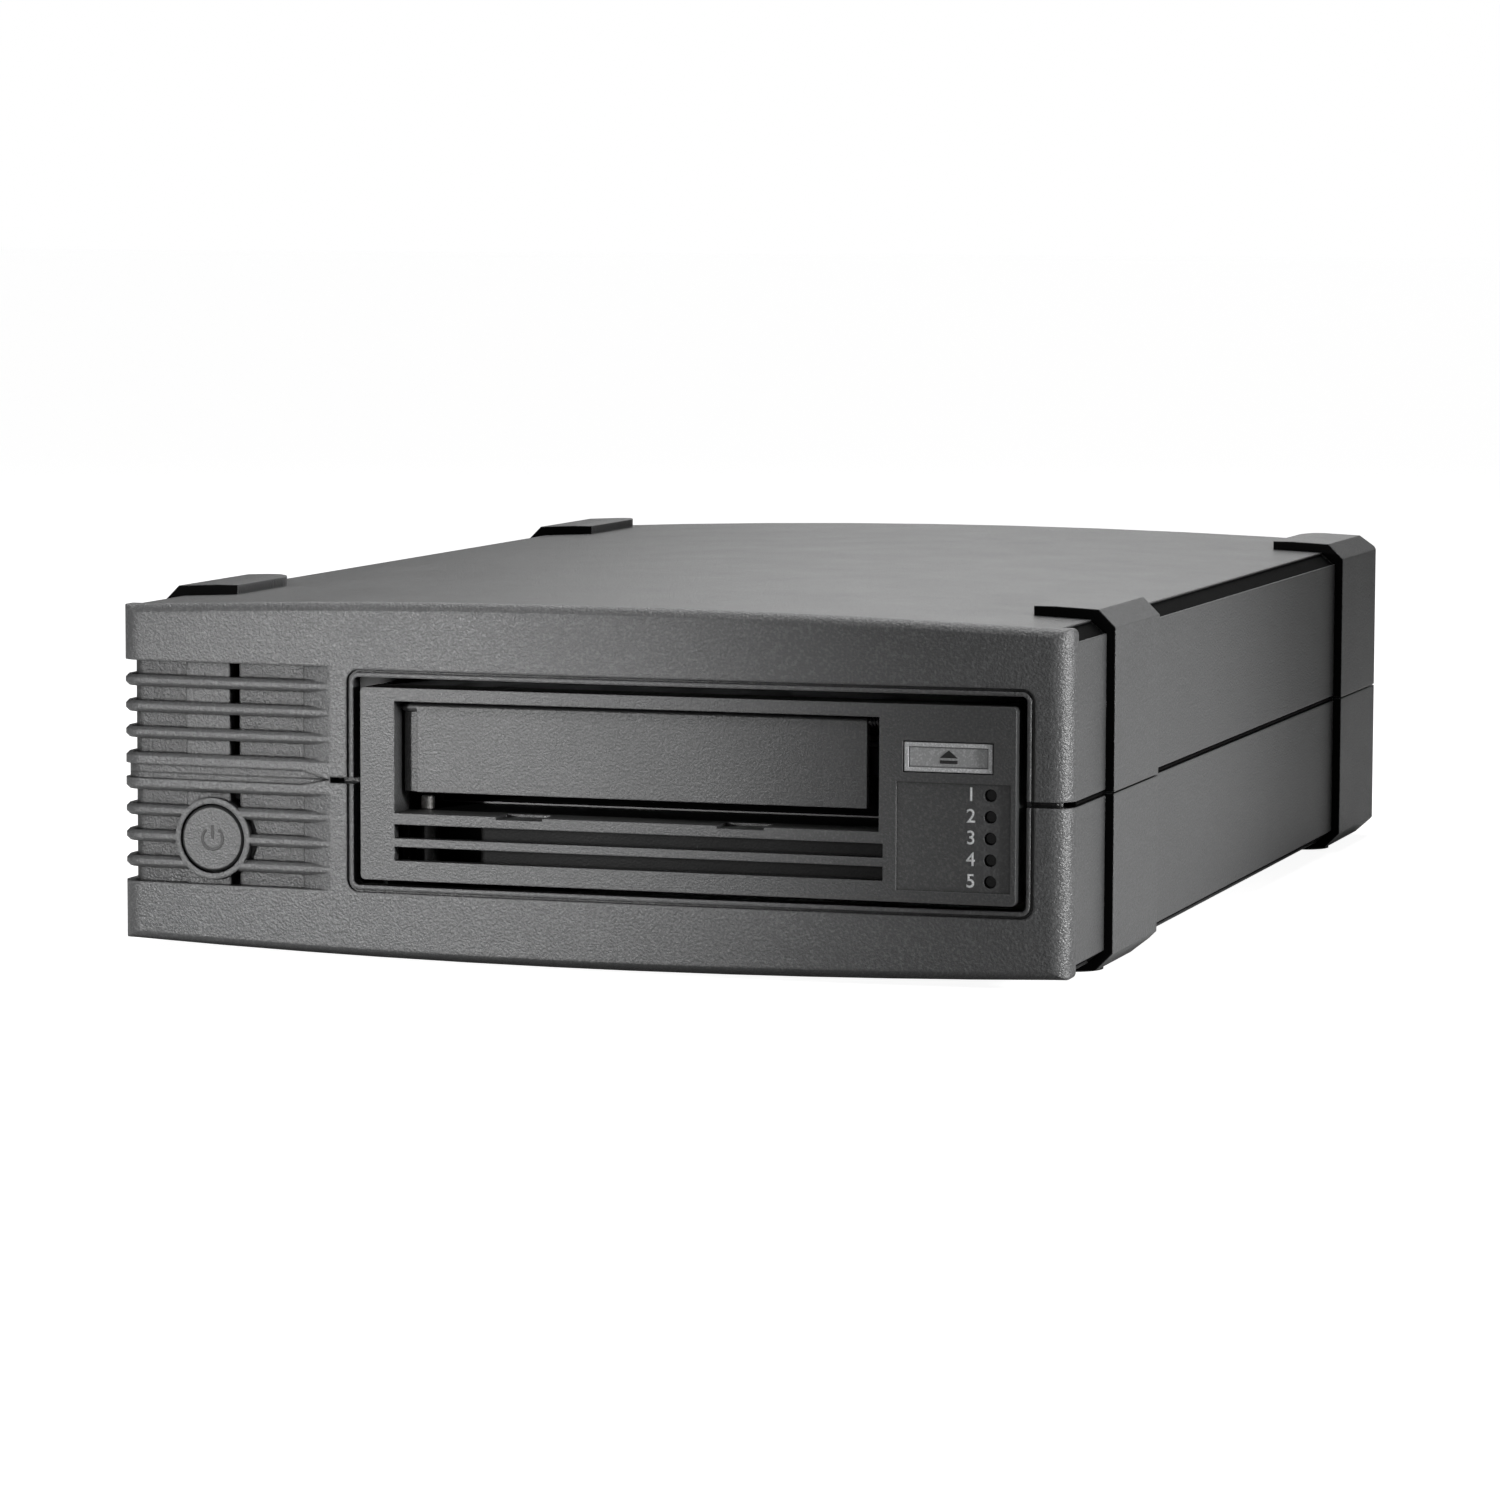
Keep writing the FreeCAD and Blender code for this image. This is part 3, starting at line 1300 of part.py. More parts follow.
def tape_deck():
    """Steel plate on legs that carries the guide rollers and the head."""
    z0 = drive_z0 + sheet
    y0, y1 = head_y - deck_ahead, head_y + deck_behind
    plate = box(deck_x0, deck_x0 + deck_width, y0, y1, deck_z, deck_z + deck_thickness)
    reel_room = rod(reel_r + deck_thickness, (reel_x, reel_y, deck_z - 1), 5, (0, 0, 1))
    reach = deck_leg * 1.5
    legs = [box(x - deck_leg / 2, x + deck_leg / 2, y - deck_leg / 2, y + deck_leg / 2, z0, deck_z + 0.5)
            for x in (deck_x0 + deck_leg, deck_x0 + deck_width * 0.6)
            for y in (y0 + reach, y1 - reach)]
    return joined([plate.cut(reel_room)] + legs)


def roller_pins():
    z = deck_z + deck_thickness
    return group(rod(roller_pin_r, (x, y, z), roller_height + 1.0, (0, 0, 1)) for x, y in roller_places())


def guide_roller(x, y):
    """Roller that turns on its pin, with a flange at its foot that guides the tape's edge."""
    z = deck_z + deck_thickness + slide_gap
    body = rod(roller_r - roller_flange, (x, y, z), roller_height - 2 * slide_gap, (0, 0, 1))
    flange = rod(roller_r, (x, y, z), roller_flange, (0, 0, 1))
    return joined([body, flange]).cut(rod(roller_pin_r + fit, (x, y, z - 1), roller_height + 2, (0, 0, 1)))


def rod_places():
    x = head_x - head_length * 0.7
    return [(x, head_y - head_width * 0.32), (x, head_y + head_width * 0.32)]


def head_actuator():
    """Magnet block on the deck with the two rods that the head slides on."""
    z = deck_z + deck_thickness
    top_z = z + head_stand + head_height + head_travel + head_room
    back = head_x - head_length - magnet_gap
    half = head_width / 2 + 1
    block = box(back - magnet_depth, back, head_y - half, head_y + half, z, top_z)
    arm = box(back - magnet_depth, head_x - head_length * 0.5, head_y - half, head_y + half,
              top_z, top_z + sheet)
    rods = [rod(head_rod_r, (x, y, z), top_z + 0.2 - z, (0, 0, 1)) for x, y in rod_places()]
    return joined([block, arm] + rods)


def head_carriage():
    """Read and write head on its sliding block; it steps up and down across the tape."""
    z = deck_z + deck_thickness + head_stand
    half = head_width / 2
    block = box(head_x - head_length, head_x - 1.0, head_y - half, head_y + half, z, z + head_height)
    face = rod(head_nose_r, (head_x + 1.0 - head_nose_r, head_y, z), head_height, (0, 0, 1))
    holes = [rod(head_rod_r + fit, (x, y, z - 1), 20, (0, 0, 1)) for x, y in rod_places()]
    return joined([block, face]).cut(holes)


def board_posts(x0, x1, y0, y1, z0, z1):
    """Square spacers under a board's corners."""
    half = board_post / 2
    return [box(x - half, x + half, y - half, y + half, z0, z1)
            for x in (x0 + board_post, x1 - board_post) for y in (y0 + board_post, y1 - board_post)]


def main_board():
    """Control board on the drive's floor with its chips and the rear connector."""
    z1 = board_z + board_thickness
    x0, x1 = deck_x0 + deck_width + 2.0, drive_x1 - board_inset
    y0, y1 = carriage_y0 + carriage_length + carriage_travel + 2.0, drive_y1 - sheet - 1.0
    motor_room = rod(reel_hub_r + 1.0, (reel_x, reel_y, board_z - 1), 5, (0, 0, 1))
    board = box(x0, x1, y0, y1, board_z, z1).cut(motor_room)
    posts = board_posts(x0, x1, y0, y1, drive_z0 + sheet, board_z + 0.2)
    chips = [box(x1 - a * chip_size, x1 - (a - w) * chip_size, y0 + b * chip_size, y0 + (b + w) * chip_size,
                 z1, z1 + board_thickness) for a, b, w in ((1.5, 0.5, 1.0), (1.3, 1.9, 0.7), (2.2, 0.2, 0.5))]
    return joined([board] + posts + chips)


def drive_connector():
    """Socket at the drive's rear that the cable inside the case goes to."""
    z1 = board_z + board_thickness
    return box(connector_x0, connector_x1, drive_y1 - connector_depth, drive_y1 + connector_proud,
               z1, z1 + connector_height)


# ---------------------------------------------------------------- cradle and power supply
def drive_cradle():
    """Folded steel cradle that holds the drive by its sides above the lower shell."""
    y0, y1 = drive_y0 + 6.0, drive_y1 - 6.0
    x0, x1 = drive_x0 - cradle_sheet, drive_x1 + cradle_sheet
    outer = box(x0, x1, y0, y1, cradle_z, cradle_z + cradle_height)
    room = box(drive_x0, drive_x1, y0 - 1, y1 + 1, cradle_z + cradle_sheet, far)
    cuts = [room]
    pitch = (y1 - y0) / cradle_windows
    for k in range(cradle_windows):
        y = y0 + k * pitch + cradle_web
        cuts.append(rounded_box(x0 + 2 * cradle_web, x1 - 2 * cradle_web, y, y + pitch - 2 * cradle_web,
                                cradle_z - 1, cradle_z + 3, cradle_web / 3, 2))
    for x, y in cradle_places():
        cuts.append(octagon(screw_r, (x, y, 0), 20, (0, 0, 1)))
    for x, y, z, axis in side_screw_places():
        cuts.append(octagon(screw_r, (x - axis[0] * 5, y, z), 15, axis))
    return outer.cut(cuts)


def inner_screws():
    """Screws that hold the cradle, the drive, the power supply and the switch bracket."""
    z = cradle_z + cradle_sheet
    screws = [screw(x, y, z, (0, 0, -1), 4.4) for x, y in cradle_places()]
    screws += [screw(x, y, z, axis, 4.5) for x, y, z, axis in side_screw_places()]
    screws += [screw(x, y, supply_z0 + sheet, (0, 0, -1), 4.0) for x, y in supply_places()]
    screws.append(screw(button_x, bracket_hole_y, bracket_z + sheet, (0, 0, -1), 3.2))
    return group(screws)


def supply_chassis():
    """Open steel box of the power supply."""
    outer = box(supply_x0, supply_x1, supply_y0, supply_y1, supply_z0, supply_z1 - sheet)
    room = box(supply_x0 + sheet, supply_x1 - sheet, supply_y0 + sheet, supply_y1 - sheet,
               supply_z0 + sheet, supply_z1)
    cuts = [room]
    pitch = supply_height / (supply_vents + 1)
    for k in range(supply_vents):
        z = supply_z0 + (k + 1) * pitch
        for y in (supply_y0, supply_y1):
            cuts.append(box(supply_x0 + 2 * board_post, supply_x1 - 2 * board_post, y - 2, y + 2,
                            z, z + pitch * 0.45))
    cuts += [octagon(screw_r, (x, y, 0), 20, (0, 0, 1)) for x, y in supply_places()]
    return outer.cut(cuts)


def supply_cover():
    return box(supply_x0, supply_x1, supply_y0, supply_y1, supply_z1 - sheet, supply_z1)


def supply_board():
    """Board of the power supply with its transformer, capacitors and heat sink."""
    z0 = supply_z0 + sheet
    x0, x1 = supply_x0 + board_post, supply_x1 - board_post
    y0, y1 = supply_y0 + board_post * 4, supply_y1 - board_post * 4
    under = z0 + board_rise
    top = under + board_thickness
    wide, long = x1 - x0, y1 - y0
    parts = [box(x0, x1, y0, y1, under, top)]
    parts += board_posts(x0, x1, y0, y1, z0, under + 0.2)
    parts.append(box(x0 + wide * 0.2, x1 - wide * 0.2, y0 + long * 0.46, y0 + long * 0.67,
                     top, top + supply_height * 0.5))
    parts += [rod(wide * 0.19, (x0 + wide * 0.29, y0 + long * a, top), supply_height * 0.55, (0, 0, 1))
              for a in (0.15, 0.3)]
    parts.append(box(x1 - wide * 0.24, x1 - wide * 0.17, y0 + long * 0.07, y0 + long * 0.39,
                     top, top + supply_height * 0.6))
    return joined(parts)


# ---------------------------------------------------------------- rear panel
def rear_panel():
    """Steel panel with the fan's grille and cut-outs for the mains inlet and the ports."""
    gap = wall + 2 * slide_gap
    body = section_prism(gap).common(plan_prism(gap, gap, 0))
    body = body.common(box(-far, far, panel_y, panel_y + panel_thickness, 0, far))
    cuts = [grille_cut()]
    cuts.append(box(inlet_x - inlet_width / 2, inlet_x + inlet_width / 2, panel_y - 1, panel_y + 3,
                    mid_z - inlet_height / 2, mid_z + inlet_height / 2))
    for x in port_x:
        cuts.append(box(x - port_width / 2, x + port_width / 2, panel_y - 1, panel_y + 3,
                        mid_z - port_height / 2, mid_z + port_height / 2))
    for x, z in fan_screw_places() + inlet_screw_places():
        cuts.append(octagon(screw_r, (x, panel_y - 1, z), 5, (0, 1, 0)))
    return body.cut(cuts)


def grille_cut():
    """Level slots that together fill a circle in front of the fan."""
    r = fan_size / 2 - grille_margin
    slots = []
    for k in range(grille_slots):
        rise = (k - (grille_slots - 1) / 2) * grille_pitch
        half = math.sqrt(max(r**2 - (abs(rise) + grille_slot / 2)**2, grille_slot))
        z = mid_z + rise - grille_slot / 2
        slots.append(box(fan_x - half, fan_x + half, panel_y - 1, panel_y + 3, z, z + grille_slot))
    return group(slots)


def fan_screw_places():
    d = fan_size / 2 - fan_screw_inset
    return [(fan_x + sx * d, mid_z + sz * d) for sx in (-1, 1) for sz in (-1, 1)]


def inlet_screw_places():
    return [(inlet_x - inlet_screw_x, mid_z), (inlet_x + inlet_screw_x, mid_z)]


def fan_frame():
    """Square fan housing with a round duct and a spider that carries the motor's hub."""
    y0, y1 = panel_y - fan_depth, panel_y
    half = fan_size / 2
    body = rounded_box(fan_x - half, fan_x + half, y0, y1, mid_z - half, mid_z + half, 3.0, 1)
    duct_r = half - fan_wall
    body = body.cut(rod(duct_r, (fan_x, y0 - 1, mid_z), fan_depth + 2, (0, 1, 0)))
    hub = rod(fan_hub_r, (fan_x, y1 - spider_depth, mid_z), spider_depth, (0, 1, 0))
    arms = []
    for k in range(4):
        arm = box(fan_x - 1.5, fan_x + 1.5, y1 - spider_depth, y1 - 0.5, mid_z, mid_z + duct_r + 0.5)
        arm.rotate(Vector(fan_x, 0, mid_z), Vector(0, 1, 0), 90.0 * k + 45)
        arms.append(arm)
    shaft = rod(spindle_r, (fan_x, y1 - 10, mid_z), 8, (0, 1, 0))
    holes = [octagon(screw_r, (x, y0 - 1, z), fan_depth + 2, (0, 1, 0)) for x, z in fan_screw_places()]
    return joined([body, hub, shaft] + arms).cut(holes)


def fan_blade(root_r, tip_r):
    """Blade that stands up along Z, twisted from root to tip; its skin is flat triangles."""
    rings = []
    for share in (0.0, 0.5, 1.0):
        chord = blade_root_chord + (blade_tip_chord - blade_root_chord) * share
        twist = math.radians(blade_root_angle + (blade_tip_angle - blade_root_angle) * share)
        ring = []
        for u, v in ((-chord, -blade_thickness), (chord, -blade_thickness),
                     (chord, blade_thickness), (-chord, blade_thickness)):
            x = (u * math.cos(twist) - v * math.sin(twist)) / 2
            y = (u * math.sin(twist) + v * math.cos(twist)) / 2
            ring.append(Vector(x, y, root_r + (tip_r - root_r) * share))
        rings.append(ring)
    return skinned(rings)


def fan_rotor():
    """Hub with seven twisted blades, turning on the motor's shaft."""
    y0, y1 = panel_y - fan_depth + 0.8, panel_y - spider_depth - slide_gap
    hub = rod(fan_hub_r, (fan_x, y0, mid_z), y1 - y0, (0, 1, 0))
    tip_r = fan_size / 2 - fan_wall - fan_tip_gap
    blades = []
    for k in range(fan_blades):
        blade = fan_blade(fan_hub_r - 1.0, tip_r)
        blade.translate(Vector(fan_x, (y0 + y1) / 2, mid_z))
        blade.rotate(Vector(fan_x, 0, mid_z), Vector(0, 1, 0), 360.0 * k / fan_blades)
        blades.append(blade)
    bore = rod(spindle_r + fit, (fan_x, y0 - 1, mid_z), 20, (0, 1, 0))
    return joined([hub] + blades).cut(bore)


def rear_screws():
    """Screws through the panel into the fan and the mains inlet, heads outside."""
    y = panel_y + panel_thickness
    screws = [screw(x, y, z, (0, -1, 0), 10.0) for x, z in fan_screw_places()]
    seat = y + inlet_flange - screw_head_height
    screws += [screw(x, seat, z, (0, -1, 0), 6.0) for x, z in inlet_screw_places()]
    return group(screws)


def mains_inlet():
    """Mains inlet with its flange outside the panel and a keyed socket."""
    w, h = inlet_width / 2 - 0.1, inlet_height / 2 - 0.1
    y0, y1 = panel_y - inlet_depth, panel_y + panel_thickness
    half, rise = inlet_flange_width / 2, inlet_height / 2 + 1.2
    body = box(inlet_x - w, inlet_x + w, y0, y1, mid_z - h, mid_z + h)
    flange = rounded_box(inlet_x - half, inlet_x + half, y1, y1 + inlet_flange,
                         mid_z - rise, mid_z + rise, 3.0, 1)
    w, h = socket_width / 2, socket_height / 2
    socket = along_y([
        (inlet_x - w, mid_z - h), (inlet_x + w, mid_z - h),
        (inlet_x + w, mid_z + h - socket_corner), (inlet_x + w - socket_corner, mid_z + h),
        (inlet_x - w + socket_corner, mid_z + h), (inlet_x - w, mid_z + h - socket_corner),
    ], y0 + 2.0, y1 + inlet_flange + 1)
    holes = [octagon(screw_r, (x, y0, z), 30, (0, 1, 0)) for x, z in inlet_screw_places()]
    seat = y1 + inlet_flange - screw_head_height
    holes += [octagon(screw_head_r + fit, (x, seat, z), 5, (0, 1, 0)) for x, z in inlet_screw_places()]
    return joined([body, flange]).cut([socket] + holes)


def inlet_pins():
    """Three flat contact pins in the mains inlet."""
    y0 = panel_y - 16.0
    places = ((-7.0, -1.5), (7.0, -1.5), (0.0, 2.5))
    return group(box(inlet_x + x - 1, inlet_x + x + 1, y0, y0 + 14.0, mid_z + z - 2, mid_z + z + 2)
                 for x, z in places)


def data_ports():
    """Metal cages of the two data sockets."""
    cages = []
    for x in port_x:
        w, h = port_width / 2 - 0.1, port_height / 2 - 0.1
        y0, y1 = panel_y - port_depth, panel_y + panel_thickness + port_proud
        cage = box(x - w, x + w, y0, y1, mid_z - h, mid_z + h)
        room = box(x - w + port_wall, x + w - port_wall, y0 + 2, y1 + 1,
                   mid_z - h + port_wall, mid_z + h - port_wall)
        cages.append(cage.cut(room))
    return group(cages)


def port_tongues():
    """Contact tongues inside the data sockets."""
    y0 = panel_y - port_depth + 2.0
    half = port_width / 2 - 3.5
    return group(box(x - half, x + half, y0, y0 + 10.0, mid_z - 0.6, mid_z + 0.6) for x in port_x)


# ---------------------------------------------------------------- assembly
sub_parts = {
    "upper_shell": upper_shell,
    "lower_shell": lower_shell,
    "edge_trim": edge_trim,
    "rubber_feet": rubber_feet,
    "case_screws": case_screws,
    "power_button": power_button,
    "power_button_spring": power_button_spring,
    "power_switch": power_switch,
    "switch_bracket": switch_bracket,
    "drive_bezel": drive_bezel,
    "cartridge_door": cartridge_door,
    "door_pin": door_pin,
    "door_spring": door_spring,
    "eject_button": eject_button,
    "front_board": front_board,
    "status_lamps": status_lamps,
    "drive_base": drive_base,
    "drive_cover": drive_cover,
    "bay_frame": bay_frame,
    "cartridge_plunger": cartridge_plunger,
    "bay_rails": bay_rails,
    "cartridge_carriage": cartridge_carriage,
    "loader_gear": loader_gear,
    "loader_gear_post": loader_gear_post,
    "loader_pinion": loader_pinion,
    "loader_motor": loader_motor,
    "chuck_motor": chuck_motor,
    "supply_chuck": supply_chuck,
    "takeup_motor": takeup_motor,
    "takeup_reel": takeup_reel,
    "tape_deck": tape_deck,
    "roller_pins": roller_pins,
    "head_actuator": head_actuator,
    "head_carriage": head_carriage,
    "main_board": main_board,
    "drive_connector": drive_connector,
    "drive_cradle": drive_cradle,
    "inner_screws": inner_screws,
    "supply_chassis": supply_chassis,
    "supply_cover": supply_cover,
    "supply_board": supply_board,
    "rear_panel": rear_panel,
    "fan_frame": fan_frame,
    "fan_rotor": fan_rotor,
    "rear_screws": rear_screws,
    "mains_inlet": mains_inlet,
    "inlet_pins": inlet_pins,
    "data_ports": data_ports,
    "port_tongues": port_tongues,
}

if __name__ == "__main__":
    os.makedirs("parts", exist_ok=True)
    shapes = {name: make() for name, make in sub_parts.items()}
    for number, (x, y) in enumerate(roller_places(), 1):
        shapes[f"guide_roller_{number}"] = guide_roller(x, y)
    for name, shape in shapes.items():
        shape.exportStep(f"parts/{name}.step")
        print(f"{name}: valid {shape.isValid()}, solids {len(shape.Solids)}, volume {shape.Volume:.0f}")
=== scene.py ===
# %% [markdown]
# # A desktop data tape drive
# The object is a small computer box: two moulded shells, a cartridge drive behind its own bezel, a
# round power button and ribs with air slots. Its shapes come finished from the CAD model, so this
# lesson is about looks: finishes made of nodes, small marks made of curves and profiles, light that
# suits dark plastic, and a long lens.

# %% Load the frame
import json
import math

import bmesh
import bpy
import numpy as np
from mathutils import Matrix, Vector


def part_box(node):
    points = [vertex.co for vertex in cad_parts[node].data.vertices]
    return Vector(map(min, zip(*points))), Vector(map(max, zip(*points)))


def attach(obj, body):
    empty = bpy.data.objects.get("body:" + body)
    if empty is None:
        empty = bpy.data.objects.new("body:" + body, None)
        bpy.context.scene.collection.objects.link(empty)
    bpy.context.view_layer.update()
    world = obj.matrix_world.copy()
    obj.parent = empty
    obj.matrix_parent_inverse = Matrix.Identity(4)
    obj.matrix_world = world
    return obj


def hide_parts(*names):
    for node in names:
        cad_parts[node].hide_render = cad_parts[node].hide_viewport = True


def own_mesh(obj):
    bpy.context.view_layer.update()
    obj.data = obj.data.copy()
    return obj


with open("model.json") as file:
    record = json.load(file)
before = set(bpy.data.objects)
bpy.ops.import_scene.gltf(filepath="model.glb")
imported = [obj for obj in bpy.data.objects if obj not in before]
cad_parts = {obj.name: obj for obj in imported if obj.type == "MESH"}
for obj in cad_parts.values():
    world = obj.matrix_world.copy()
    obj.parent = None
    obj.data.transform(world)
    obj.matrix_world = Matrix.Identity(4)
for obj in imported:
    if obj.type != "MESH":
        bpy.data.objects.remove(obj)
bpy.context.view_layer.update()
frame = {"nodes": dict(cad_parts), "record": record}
nodes = frame["nodes"]
mm = 0.001

# %% [markdown]
# ## Camera first
# A product picture is taken with a long lens from some way off, so that edges stay nearly parallel.
# A camera needs a place, a turn to the left, a tilt down and a slight roll. Those three angles
# make three directions at right angles, and these are the columns of the camera's matrix.

# %% Camera
camera_place = Vector((0.3931, -1.2832, 0.1659))
turn_left, tilt_down, roll = (math.radians(a) for a in (17.514, 5.642, 0.204))


def view_matrix(place, turn, tilt, roll):
    """Camera matrix at place.

    Forward is +Y turned and tilted, right lies level, and up is the cross product of right and forward.
    The last two are then rolled about forward.
    """
    forward = Vector((-math.sin(turn) * math.cos(tilt), math.cos(turn) * math.cos(tilt), -math.sin(tilt)))
    right = Vector((math.cos(turn), math.sin(turn), 0))
    up = right.cross(forward)
    across = right * math.cos(roll) + up * math.sin(roll)
    upward = up * math.cos(roll) - right * math.sin(roll)
    columns = Matrix((across, upward, -forward)).transposed()
    return Matrix.Translation(place) @ columns.to_4x4()


sensor_width = 36.0         # in mm, as the lens length is
lens_length = 133.78
lens = bpy.data.cameras.new("camera")
lens.sensor_width = sensor_width
lens.lens = lens_length
camera = bpy.data.objects.new("camera", lens)
bpy.context.scene.collection.objects.link(camera)
camera.matrix_world = view_matrix(camera_place, turn_left, tilt_down, roll)
bpy.context.scene.camera = camera
print("camera", [round(v, 3) for v in camera_place], "lens", lens_length)

# %% [markdown]
# ## Helpers for materials
# Every finish is a small net of nodes on Object coordinates, so a pattern keeps its real size on
# every piece. Three effects are used again and again: the grain that a spark-eroded mould leaves in
# plastic, the way an edge that isn't quite sharp catches the light, with a painted highlight along it,
# and painted shade in grooves. Each is built once as a shader node group with named inputs, and a
# material gives it its own values.

# %% Node groups
def new_group(name, inputs, outputs):
    """Empty shader node group with named sockets: inputs as (name, kind, value), outputs as (name, kind)."""
    group = bpy.data.node_groups.new(name, "ShaderNodeTree")
    for label, kind, value in inputs:
        socket = group.interface.new_socket(name=label, in_out="INPUT", socket_type=kind)
        socket.default_value = value
    for label, kind in outputs:
        group.interface.new_socket(name=label, in_out="OUTPUT", socket_type=kind)
    return group, group.nodes.new("NodeGroupInput"), group.nodes.new("NodeGroupOutput")


def math_node(tree, operation, a, b=None, c=None, clamp=False):
    """Math node; each of a, b and c is a socket or a number."""
    node = tree.nodes.new("ShaderNodeMath")
    node.operation = operation
    node.use_clamp = clamp
    for socket, value in zip(node.inputs, (a, b, c)):
        if isinstance(value, bpy.types.NodeSocket):
            tree.links.new(value, socket)
        elif value is not None:
            socket.default_value = value
    return node.outputs[0]


def map_range(tree, value, **limits):
    """Map Range node on a socket: limits are its inputs From_Min, From_Max, To_Min and To_Max."""
    node = tree.nodes.new("ShaderNodeMapRange")
    tree.links.new(value, node.inputs["Value"])
    for label, limit in limits.items():
        node.inputs[label.replace("_", " ")].default_value = limit
    return node


def noise(tree, vector, scale, detail=2.0, rough=0.5):
    """Noise texture; scale in cells per metre, as a number or a socket."""
    node = tree.nodes.new("ShaderNodeTexNoise")
    tree.links.new(vector, node.inputs["Vector"])
    if isinstance(scale, bpy.types.NodeSocket):
        tree.links.new(scale, node.inputs["Scale"])
    else:
        node.inputs["Scale"].default_value = scale
    node.inputs["Detail"].default_value = detail
    node.inputs["Roughness"].default_value = rough
    return node.outputs["Fac"]


# %% [markdown]
# Spark erosion eats round craters into the mould, so the plastic comes out covered in soft pimples a
# few tenths of a millimetre wide. One noise of that size gives the height, a much wider one gives
# the cloudy change of tone that large mouldings have, and a third one gives sparse pale specks.

# %% Grain of a mould
def build_grain():
    """Height is a fine noise sharpened about its middle.

    Cloud is a wide noise for tone and gloss, and Speck is the top of a noise a little wider than Height.
    """
    group, given, result = new_group(
        "mould_grain",
        [("Cells", "NodeSocketFloat", 2600.0), ("Cloud Cells", "NodeSocketFloat", 60.0)],
        [("Height", "NodeSocketFloat"), ("Cloud", "NodeSocketFloat"), ("Speck", "NodeSocketFloat")])
    place = group.nodes.new("ShaderNodeTexCoord").outputs["Object"]
    fine = noise(group, place, given.outputs["Cells"], 3.0, 0.55)
    sharper = map_range(group, fine, From_Min=0.35, From_Max=0.65)
    group.links.new(sharper.outputs["Result"], result.inputs["Height"])
    cloud = noise(group, place, given.outputs["Cloud Cells"], 3.0, 0.5)
    group.links.new(cloud, result.inputs["Cloud"])
    speck_cells = math_node(group, "MULTIPLY", given.outputs["Cells"], 0.8)
    sparse = map_range(group, noise(group, place, speck_cells, 1.0, 0.5), From_Min=0.48, From_Max=0.72)
    group.links.new(sparse.outputs["Result"], result.inputs["Speck"])
    return group


# %% [markdown]
# No moulded or folded edge is perfectly sharp. The Bevel node bends the shading normal near an edge
# as if it were rounded, which is what makes the thin light lines along the edges of real plastic.
# Where the bent normal differs from the flat one there is an edge, so the same node also gives a
# mask for a painted highlight, a paler colour along the edges.

# %% Edges that catch the light
def build_edges():
    """Normal is the bevelled normal.

    Edge is 1 minus the dot product of the bevelled and the true normal, times 3.5 and kept within 0..1.
    """
    group, given, result = new_group(
        "soft_edges", [("Radius", "NodeSocketFloat", 0.0004)],
        [("Normal", "NodeSocketVector"), ("Edge", "NodeSocketFloat")])
    bevel = group.nodes.new("ShaderNodeBevel")
    bevel.samples = 6
    group.links.new(given.outputs["Radius"], bevel.inputs["Radius"])
    flat = group.nodes.new("ShaderNodeNewGeometry").outputs["Normal"]
    dot = group.nodes.new("ShaderNodeVectorMath")
    dot.operation = "DOT_PRODUCT"
    group.links.new(bevel.outputs[0], dot.inputs[0])
    group.links.new(flat, dot.inputs[1])
    gap = math_node(group, "SUBTRACT", 1.0, dot.outputs["Value"])
    edge = math_node(group, "MULTIPLY", gap, 3.5, clamp=True)
    group.links.new(bevel.outputs[0], result.inputs["Normal"])
    group.links.new(edge, result.inputs["Edge"])
    return group


# %% [markdown]
# Shade falls at the bottom of grooves, between ribs and along joints. The Ambient Occlusion node
# measures how closed in a point is, and gives a mask for painting that shade into the colour.

# %% Painted shade in grooves
def build_groove_shade():
    """Groove is 1 minus the openness within Reach, times 1.7 and kept within 0..1."""
    group, given, result = new_group("grooves", [("Reach", "NodeSocketFloat", 0.004)],
                                     [("Groove", "NodeSocketFloat")])
    openness = group.nodes.new("ShaderNodeAmbientOcclusion")
    openness.samples = 6
    group.links.new(given.outputs["Reach"], openness.inputs["Distance"])
    closed = math_node(group, "SUBTRACT", 1.0, openness.outputs["AO"])
    group.links.new(math_node(group, "MULTIPLY", closed, 1.7, clamp=True), result.inputs["Groove"])
    return group


grain_group = build_grain()
edge_group = build_edges()
groove_shade_group = build_groove_shade()
print("node groups", [g.name for g in (grain_group, edge_group, groove_shade_group)])

# %% [markdown]
# ## Plastics
# A plastic is a Principled shader whose colour wanders a little with the cloud and the specks. Its
# edges are painted paler, a painted highlight, and its grooves are painted darker, painted shade.
# The grain goes in as bump on top of the rounded edges.

# %% Plastic material
def base_material(name):
    """Material with a Principled shader on it: returns the material, its node tree and the shader."""
    material = bpy.data.materials.new(name)
    material.use_nodes = True
    tree = material.node_tree
    return material, tree, tree.nodes["Principled BSDF"]


def group_node(tree, group, **values):
    """A copy of a node group in a material, with some of its inputs set."""
    node = tree.nodes.new("ShaderNodeGroup")
    node.node_tree = group
    for label, value in values.items():
        node.inputs[label.replace("_", " ")].default_value = value
    return node


def mixed_colour(tree, factor, low, high):
    """Colour that runs from low to high as factor runs from 0 to 1; either may be a socket."""
    node = tree.nodes.new("ShaderNodeMix")
    node.data_type = "RGBA"
    tree.links.new(factor, node.inputs["Factor"])
    for socket, value in ((node.inputs["A"], low), (node.inputs["B"], high)):
        if isinstance(value, bpy.types.NodeSocket):
            tree.links.new(value, socket)
        else:
            socket.default_value = (*value, 1.0)
    return node.outputs["Result"]


def grey(level, tint=0.0):
    """Grey of a linear level; tint moves it towards blue."""
    return (level * (1 - tint), level, level * (1 + tint))


